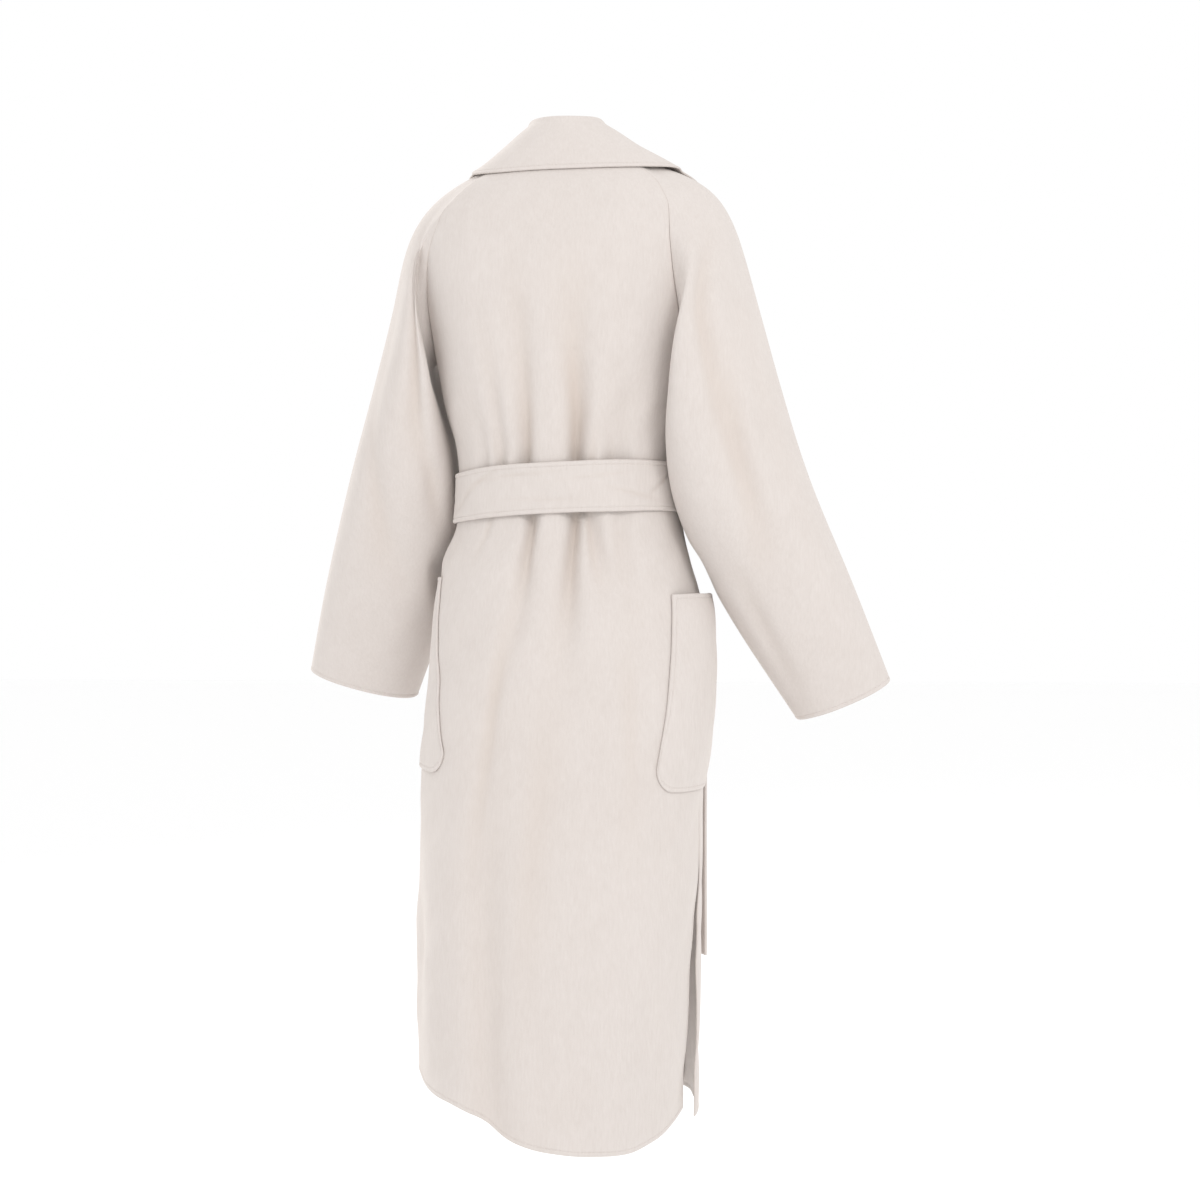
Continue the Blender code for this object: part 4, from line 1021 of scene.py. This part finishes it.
def evened(points, passes):
    """The collar's stand, its roll and the head of its fall evened out along the neck."""
    from_foot = lengths(points, 0)[0]
    hold = (ease(from_foot / 0.012) * (1 - ease((from_foot - 0.060) / 0.050)))[..., None]
    for _ in range(passes):
        along = points.copy()
        along[:, 1:-1] = (points[:, :-2] + 2 * points[:, 1:-1] + points[:, 2:]) / 4
        points = points + (along - points) * hold
    return points


def collar():
    points, foot_out = collar_points()
    points = evened(rolled(points, len(COLLAR_STAND) + 5, len(COLLAR_STAND) + len(COLLAR_TURN) + 9), 90)
    normals = grid_normals(points, around=False)
    if normals[-1, points.shape[1] // 2, 1] < 0:
        normals = -normals
    normals[0] = foot_out
    from_foot, from_edge = lengths(points, 0)
    points = points - normals * (0.0013 * bell(from_edge, 0.03))[..., None]
    from_tip = np.minimum(*lengths(points, 1))
    free = np.minimum(from_edge, from_tip)
    outer, inner = faces_of(points, normals, free, from_foot, WALL)
    # Painted shade: a thin band of darker, warmer colour along the collar's seam at its foot.
    made = wall("collar_cloth", outer, inner, painted_shade=0.5 * bell(from_foot, 0.002))
    return made, [stitch_line(outer, normals, from_edge, 0, slice(6, -6))]


pieces["collar"], threads["collar"] = collar()

# ---- Pockets and belt ----------------------------------------------------------------------------


def strip_edges(count, width):
    """Steps across a strip from 0 to 1, close together at both edges."""
    near = FREE_STEPS / width
    return np.concatenate([near, np.linspace(near[-1], 1 - near[-1], count)[1:-1], 1 - near[::-1]])


def pocket(name, size):
    ends = np.linspace(POCKET_TOP, POCKET_BOTTOM, 50)
    between = ends[(ends < POCKET_TOP - 0.012) & (ends > POCKET_BOTTOM + 0.012)]
    rows = np.concatenate([POCKET_TOP - FREE_STEPS, between, POCKET_BOTTOM + FREE_STEPS[::-1]])
    outer, inner = pocket_points(size, rows, strip_edges(POCKET_COLUMNS, POCKET_WIDTH))
    normals = unit(outer - inner)
    from_mouth, from_bottom = lengths(outer, 0)
    from_back, from_front = lengths(outer, 1)
    free = np.minimum(np.minimum(from_mouth, from_bottom), np.minimum(from_back, from_front))
    faces = faces_of(outer, normals, free, free + 1, WALL)
    lines = [stitch_line(faces[0], normals, away, axis, slice(12, -12))
             for away, axis in ((from_back, 1), (from_front, 1), (from_bottom, 0), (from_mouth, 0))]
    return wall(name, *faces, painted_shade=0 * free), lines


pieces["pocket_left"], threads["pocket_left"] = pocket("pocket_left_cloth", POCKET_LEFT)
pieces["pocket_right"], threads["pocket_right"] = pocket("pocket_right_cloth", POCKET_RIGHT)


# How far the band's edges wander up or down, by the angle round the waist.
BELT_WAVE = table("""
 phi     top     low
-180  0.0006  0.0004
-150 -0.0008  0.0006
-120  0.0009 -0.0004
 -90  0.0004 -0.0008
 -60 -0.0006  0.0004
 -30  0.0006 -0.0006
   0  0.0000  0.0000
  30  0.0006 -0.0004
  60 -0.0006 -0.0012
  90  0.0008  0.0004
 120 -0.0006  0.0008
 150  0.0008 -0.0006
 180  0.0006  0.0004
""")
belt_wave = columns_of(BELT_WAVE, "phi")

# Creases pressed into the band: their middle, how far down the band (0 top, 1 bottom), how far they
# reach round, how much they slope, how wide and how deep they are.
BELT_CREASES = table("""
 phi down reach slope  wide  depth
  22 0.22    26  0.05 0.035 0.0011
  44 0.26    12  0.16 0.045 0.0013
  55 0.50     9  0.13 0.050 0.0014
  66 0.74     8  0.10 0.050 0.0011
   5 0.72    18 -0.04 0.040 0.0009
 -18 0.30    16  0.06 0.040 0.0009
 -40 0.66    14 -0.12 0.045 0.0012
 -58 0.38     9  0.28 0.045 0.0014
 -95 0.55    14  0.15 0.045 0.0012
-125 0.35    16 -0.10 0.040 0.0012
-150 0.60    10  0.30 0.045 0.0014
  96 0.40    15 -0.14 0.045 0.0012
 122 0.62    14  0.12 0.040 0.0012
 146 0.36     9 -0.32 0.045 0.0015
""")


def belt_band():
    phi = np.linspace(-180, 180, 361)[:-1]
    across = strip_edges(BELT_ROWS, BELT_HEIGHT)
    outer, inner = belt_points(phi, 1 - 2 * across)
    normals = unit(outer - inner)
    from_top, from_bottom = lengths(outer, 0)
    angle = np.radians(phi)[None, :]
    down = across[:, None]
    rise = 0.0007 * np.sin(angle * 7 + 1 + down * 2.5) + 0.0005 * np.sin(angle * 13 + down * 6)
    outer = outer + normals * (rise * np.sin(np.pi * down))[..., None]
    outer[..., 2] += belt_wave["top"](phi) * (1 - down) + belt_wave["low"](phi) * down
    face, inner = faces_of(outer, normals, np.minimum(from_top, from_bottom), 1 + 0 * from_top, BELT_WALL)
    crease = 0.0
    for at, place, reach, slope, wide, depth in zip(*BELT_CREASES.values()):
        along = ((phi[None, :] - at + 180) % 360 - 180) / reach
        crease = crease + 1.5 * depth * np.exp(-along ** 2 - ((down - place - slope * along) / wide) ** 2)
    faces = (face - normals * crease[..., None], inner)
    # Painted shade: darker, warmer colour in the pressed creases of the band.
    made = wall("belt_band_cloth", *faces, around=True, painted_shade=np.clip(crease / 0.005, 0, 0.6))
    return made, [stitch_line(faces[0], normals, away, 0, around=True) for away in (from_top, from_bottom)]


def knot_place(out):
    """The way out of the body at the knot, and a point there at some distance from the belt."""
    z = np.array(float(belt_height(KNOT_PHI)) + 0.002)
    phi = np.array(float(KNOT_PHI))
    outward = unit(form_normal(phi, z, False) * np.array([1, 1, 0]))
    return outward, lay(phi, z, belt_out(phi) + BELT_WALL + BELT_BULGE, False) + outward * out


END_WIDTH = 0.058
DRAWN_SHARE = 0.20  # of a hanging end, from the knot down, is drawn together under the knot
DRAWN_IN, DRAWN_NARROW, DRAWN_UP = 0.50, 0.40, 0.004  # to the knot's middle, in width, and up into it


def belt_end(name, line, pleat):
    down = np.concatenate([np.linspace(0, 1, 80)[:-1] ** 1.2 * 0.975, 1 - FREE_STEPS[::-1] / 0.45])
    share = strip_edges(END_COLUMNS, END_WIDTH) - 0.5
    outer, inner = belt_end_points(line, down, share)
    # Near the knot the strip is drawn together, in towards the knot's middle and up into it.
    outward, knot_middle = knot_place(0.0)
    side = np.array([outward[1], -outward[0], 0])
    drawn = (1 - ease(down / DRAWN_SHARE))[:, None, None]
    middle = outer.mean(axis=1, keepdims=True)
    inward = ((knot_middle - middle[0, 0]) @ side) * DRAWN_IN
    for face in (outer, inner):
        across = ((face - middle) @ side)[..., None]
        face += side * (inward - across * DRAWN_NARROW) * drawn + np.array([0, 0, DRAWN_UP]) * drawn ** 2
    normals = unit(outer - inner)
    fade = ease(1 - down / 0.45)[:, None]
    rise = 0.0011 * fade * np.cos(share[None, :] * 2 * np.pi * 2.2 + pleat)
    outer = outer + normals * rise[..., None]
    sides = np.minimum(*lengths(outer, 1))
    free = np.minimum(sides, lengths(outer, 0)[1])
    faces = faces_of(outer, normals, free, free + 1, BELT_WALL)
    lines = [stitch_line(faces[0], normals, away, 1, slice(4, -12)) for away in lengths(outer, 1)]
    return wall(name, *faces, painted_shade=0 * free), lines


KNOT_HALF = np.array([0.029, 0.0175, 0.033])  # its half width, depth and height
KNOT_SQUARE = 2.7  # 2 is an ellipsoid
TURN_HALF = 0.56  # half the width of the turn over the knot, in shares of KNOT_HALF


def belt_knot():
    """A squarish lump with one turn of the belt slanting across it, its edges standing up a little."""
    turn, tilt = np.linspace(0, 2 * np.pi, 121)[:-1], np.linspace(0, np.pi, 82)[1:-1]
    way = np.stack([np.sin(tilt)[:, None] * np.cos(turn), np.sin(tilt)[:, None] * np.sin(turn),
                    np.cos(tilt)[:, None] + 0 * turn], axis=-1)
    point = way * ((np.abs(way) ** KNOT_SQUARE).sum(axis=-1) ** (-1 / KNOT_SQUARE))[..., None]
    slant = point[..., 0] * np.cos(KNOT_SLANT) + point[..., 2] * np.sin(KNOT_SLANT)
    along = point[..., 2] * np.cos(KNOT_SLANT) - point[..., 0] * np.sin(KNOT_SLANT)
    front = np.maximum(point[..., 1], 0)
    over = 1 / (1 + np.exp((np.abs(slant + 0.05 * np.sin(along * 3)) - TURN_HALF) / 0.018))
    pleats = 0.020 * np.cos(slant * 8 + 0.6 + along * 0.8) * bell(along, 0.9) * over
    behind = 0.034 * np.cos(along * 7 + 0.8) * (1 - over)
    grown = 0.865 + (0.130 * over + pleats + behind) * front
    point = point * KNOT_HALF * grown[..., None]
    outward, place = knot_place(KNOT_HALF[1] * 0.93 + 0.0001)
    side = np.array([outward[1], -outward[0], 0])
    point = place + point[..., :1] * side + point[..., 1:2] * outward + point[..., 2:] * np.array([0, 0, 1])
    rows, columns = point.shape[:2]
    index = np.arange(rows * columns).reshape(rows, columns)
    index = np.concatenate([index, index[:, :1]], axis=1)
    faces = [np.stack([a[:-1], b[:-1], b[1:], a[1:]], axis=-1) for a, b in zip(index[:-1], index[1:])]
    caps = [index[0, :-1][::-1].tolist(), index[-1, :-1].tolist()]
    return piece("belt_knot_cloth", point.reshape(-1, 3), np.concatenate(faces).tolist() + caps)


pieces["belt_band"], threads["belt_band"] = belt_band()
pieces["belt_end_long"], threads["belt_end_long"] = belt_end("belt_end_long_cloth", END_LONG, 0.4)
pieces["belt_end_short"], threads["belt_end_short"] = belt_end("belt_end_short_cloth", END_SHORT, 2.0)
pieces["belt_knot"] = belt_knot()

# ---- Wool ----------------------------------------------------------------------------------------


def set_inputs(node, values):
    for name, value in values.items():
        node.inputs[name].default_value = value


def wool(name, light, deep, thread=False):
    """Brushed double-faced wool: a fine nap lying downwards, slightly uneven in tone, with shade painted
    darker and warmer into its creases and along its seams.
    """
    material = bpy.data.materials.new(name)
    material.use_nodes = True
    nodes, links = material.node_tree.nodes, material.node_tree.links

    def node(kind, values, fed, **settings):
        """A shader node with settings, values of inputs, and inputs that other nodes' sockets feed."""
        made = nodes.new("ShaderNode" + kind)
        for key, value in settings.items():
            setattr(made, key, value)
        set_inputs(made, values)
        for key, socket in fed.items():
            links.new(socket, made.inputs[key])
        return made

    place = node("TexCoord", {}, {}).outputs["Object"]

    def noise(scale, stretch, detail, rough):
        spread = node("Mapping", {"Scale": stretch}, {"Vector": place}).outputs["Vector"]
        values = {"Scale": scale, "Detail": detail, "Roughness": rough}
        return node("TexNoise", values, {"Vector": spread}).outputs["Fac"]

    def sum_of(parts):
        total = {}
        for socket, weight in parts:
            step = node("Math", {1: weight, 2: 0}, {0: socket, **total}, operation="MULTIPLY_ADD")
            total = {2: step.outputs[0]}
        return total[2]

    fibre = noise(1500, (1, 1, 1), 3, 0.7)
    nap = noise(420, (1, 1, 0.16), 3, 0.6)
    cloud = noise(55, (1, 1, 0.6), 3, 0.55)
    patch = noise(7, (1, 1, 1), 2, 0.5)
    tone = sum_of([(fibre, 0.36), (nap, 0.36), (cloud, 0.16), (patch, 0.12)])
    ramp = node("ValToRGB", {}, {"Fac": tone})
    for end, (position, shade) in zip(ramp.color_ramp.elements, ((0.36, deep), (0.62, light))):
        end.position = position
        end.color = (*shade, 1)
    colour = ramp.outputs["Color"]
    if not thread:
        # Painted shade: the colour is drawn towards a darker, warmer brown by the shade laid on each wall's
        # points.
        painted_shade = node("Attribute", {}, {}, attribute_name="painted_shade").outputs["Fac"]
        share = node("Math", {1: 0.6}, {0: painted_shade}, operation="MULTIPLY").outputs[0]
        shaded = node("Mix", {}, {}, data_type="RGBA")
        links.new(share, shaded.inputs["Factor"])
        links.new(colour, shaded.inputs["A"])
        shaded.inputs["B"].default_value = (*PAINTED_CREASE_SHADE, 1)
        colour = shaded.outputs["Result"]
    height = sum_of([(fibre, 0.5), (nap, 0.8), (cloud, 0.6)])
    bump = node("Bump", {"Strength": 0.5, "Distance": 0.0006}, {"Height": height})
    shader = nodes["Principled BSDF"]
    set_inputs(shader, {"Roughness": 0.94, "Specular IOR Level": 0.15, "Sheen Weight": 0.35,
                        "Sheen Roughness": 0.55, "Sheen Tint": (1.0, 0.95, 0.90, 1.0)})
    links.new(colour, shader.inputs["Base Color"])
    links.new(bump.outputs["Normal"], shader.inputs["Normal"])
    return material


# The first two are the wool's own tones, mixed by noise; the third is the darker, warmer colour of the shade
# painted into creases and along seams.
LIGHT, DEEP, PAINTED_CREASE_SHADE = (0.656, 0.605, 0.575), (0.594, 0.540, 0.507), (0.575, 0.492, 0.43)
THREAD_LIGHT, THREAD_DEEP = (0.65, 0.592, 0.558), (0.584, 0.527, 0.492)
SLOT_OF = {"back": "wool_body", "front": "wool_body", "sleeve": "wool_sleeves", "collar": "wool_collar",
           "pocket": "wool_pockets", "belt": "wool_belt"}  # by the first word of a node's name
cloths = {slot: wool(slot, LIGHT, DEEP) for slot in sorted(set(SLOT_OF.values()))}
thread_cloth = wool("silk_thread", THREAD_LIGHT, THREAD_DEEP, thread=True)

# Each piece takes the wool of its kind by the first word of its name, its CAD part is hidden and its
# stitching is made with the silk thread.
for node, made in pieces.items():
    slot = SLOT_OF[node.split("_")[0]]
    made.data.materials.append(cloths[slot])
    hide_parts(node)
    if node in threads:
        sewing = stitching(node + "_stitching", threads[node])
        sewing.data.materials.append(thread_cloth)
        threads[node] = sewing

# ---- Camera, light and floor ---------------------------------------------------------------------


FLOOR_Z = -1.62
CAMERA_PLACE, CAMERA_TURN, CAMERA_LENS = (-0.1969, 2.1916, -0.565), 184, 51.54  # it looks at the coat's back
# Each lamp's place, the point that it shines at, its size and its power in watts.
LAMPS = {
    "key": ((-1.6, 2.7, 1.2), (0, 0, -0.5), 1.0, 31),
    "fill": ((1.6, 2.6, -0.7), (0, 0, -0.6), 2.0, 4),
    "front_key": ((2.4, -2.2, 1.4), (0, 0, -0.5), 0.9, 44),
}


def studio():
    """A white room with a pale floor."""
    scene = bpy.context.scene
    scene.view_settings.view_transform = "Standard"
    scene.world = bpy.data.worlds.new("studio")
    scene.world.use_nodes = True
    set_inputs(scene.world.node_tree.nodes["Background"], {"Color": (1, 1, 1, 1), "Strength": 1.0})
    bpy.ops.mesh.primitive_plane_add(size=40, location=(0, 0, FLOOR_Z))
    floor = bpy.context.object
    floor.name = "floor"
    paint = bpy.data.materials.new("pale_floor")
    paint.use_nodes = True
    white = {"Base Color": (0.99, 0.99, 0.99, 1), "Roughness": 0.9}
    set_inputs(paint.node_tree.nodes["Principled BSDF"], white)
    floor.data.materials.append(paint)
    for name, (place, aim, size, power_w) in LAMPS.items():
        lamp = bpy.data.lights.new(name, "AREA")
        lamp.size = size
        lamp.energy = power_w
        holder = bpy.data.objects.new(name, lamp)
        scene.collection.objects.link(holder)
        holder.location = place
        toward = np.array(aim) - np.array(place)
        holder.rotation_euler = (np.arctan2(np.hypot(toward[0], toward[1]), -toward[2]), 0,
                                 np.arctan2(toward[1], toward[0]) - np.pi / 2)
    camera = bpy.data.cameras.new("camera")
    camera.sensor_width = 36
    camera.lens = CAMERA_LENS
    scene.camera = bpy.data.objects.new("camera", camera)
    scene.collection.objects.link(scene.camera)
    scene.camera.location = CAMERA_PLACE
    scene.camera.rotation_euler = (np.radians(90), 0, np.radians(CAMERA_TURN))


studio()
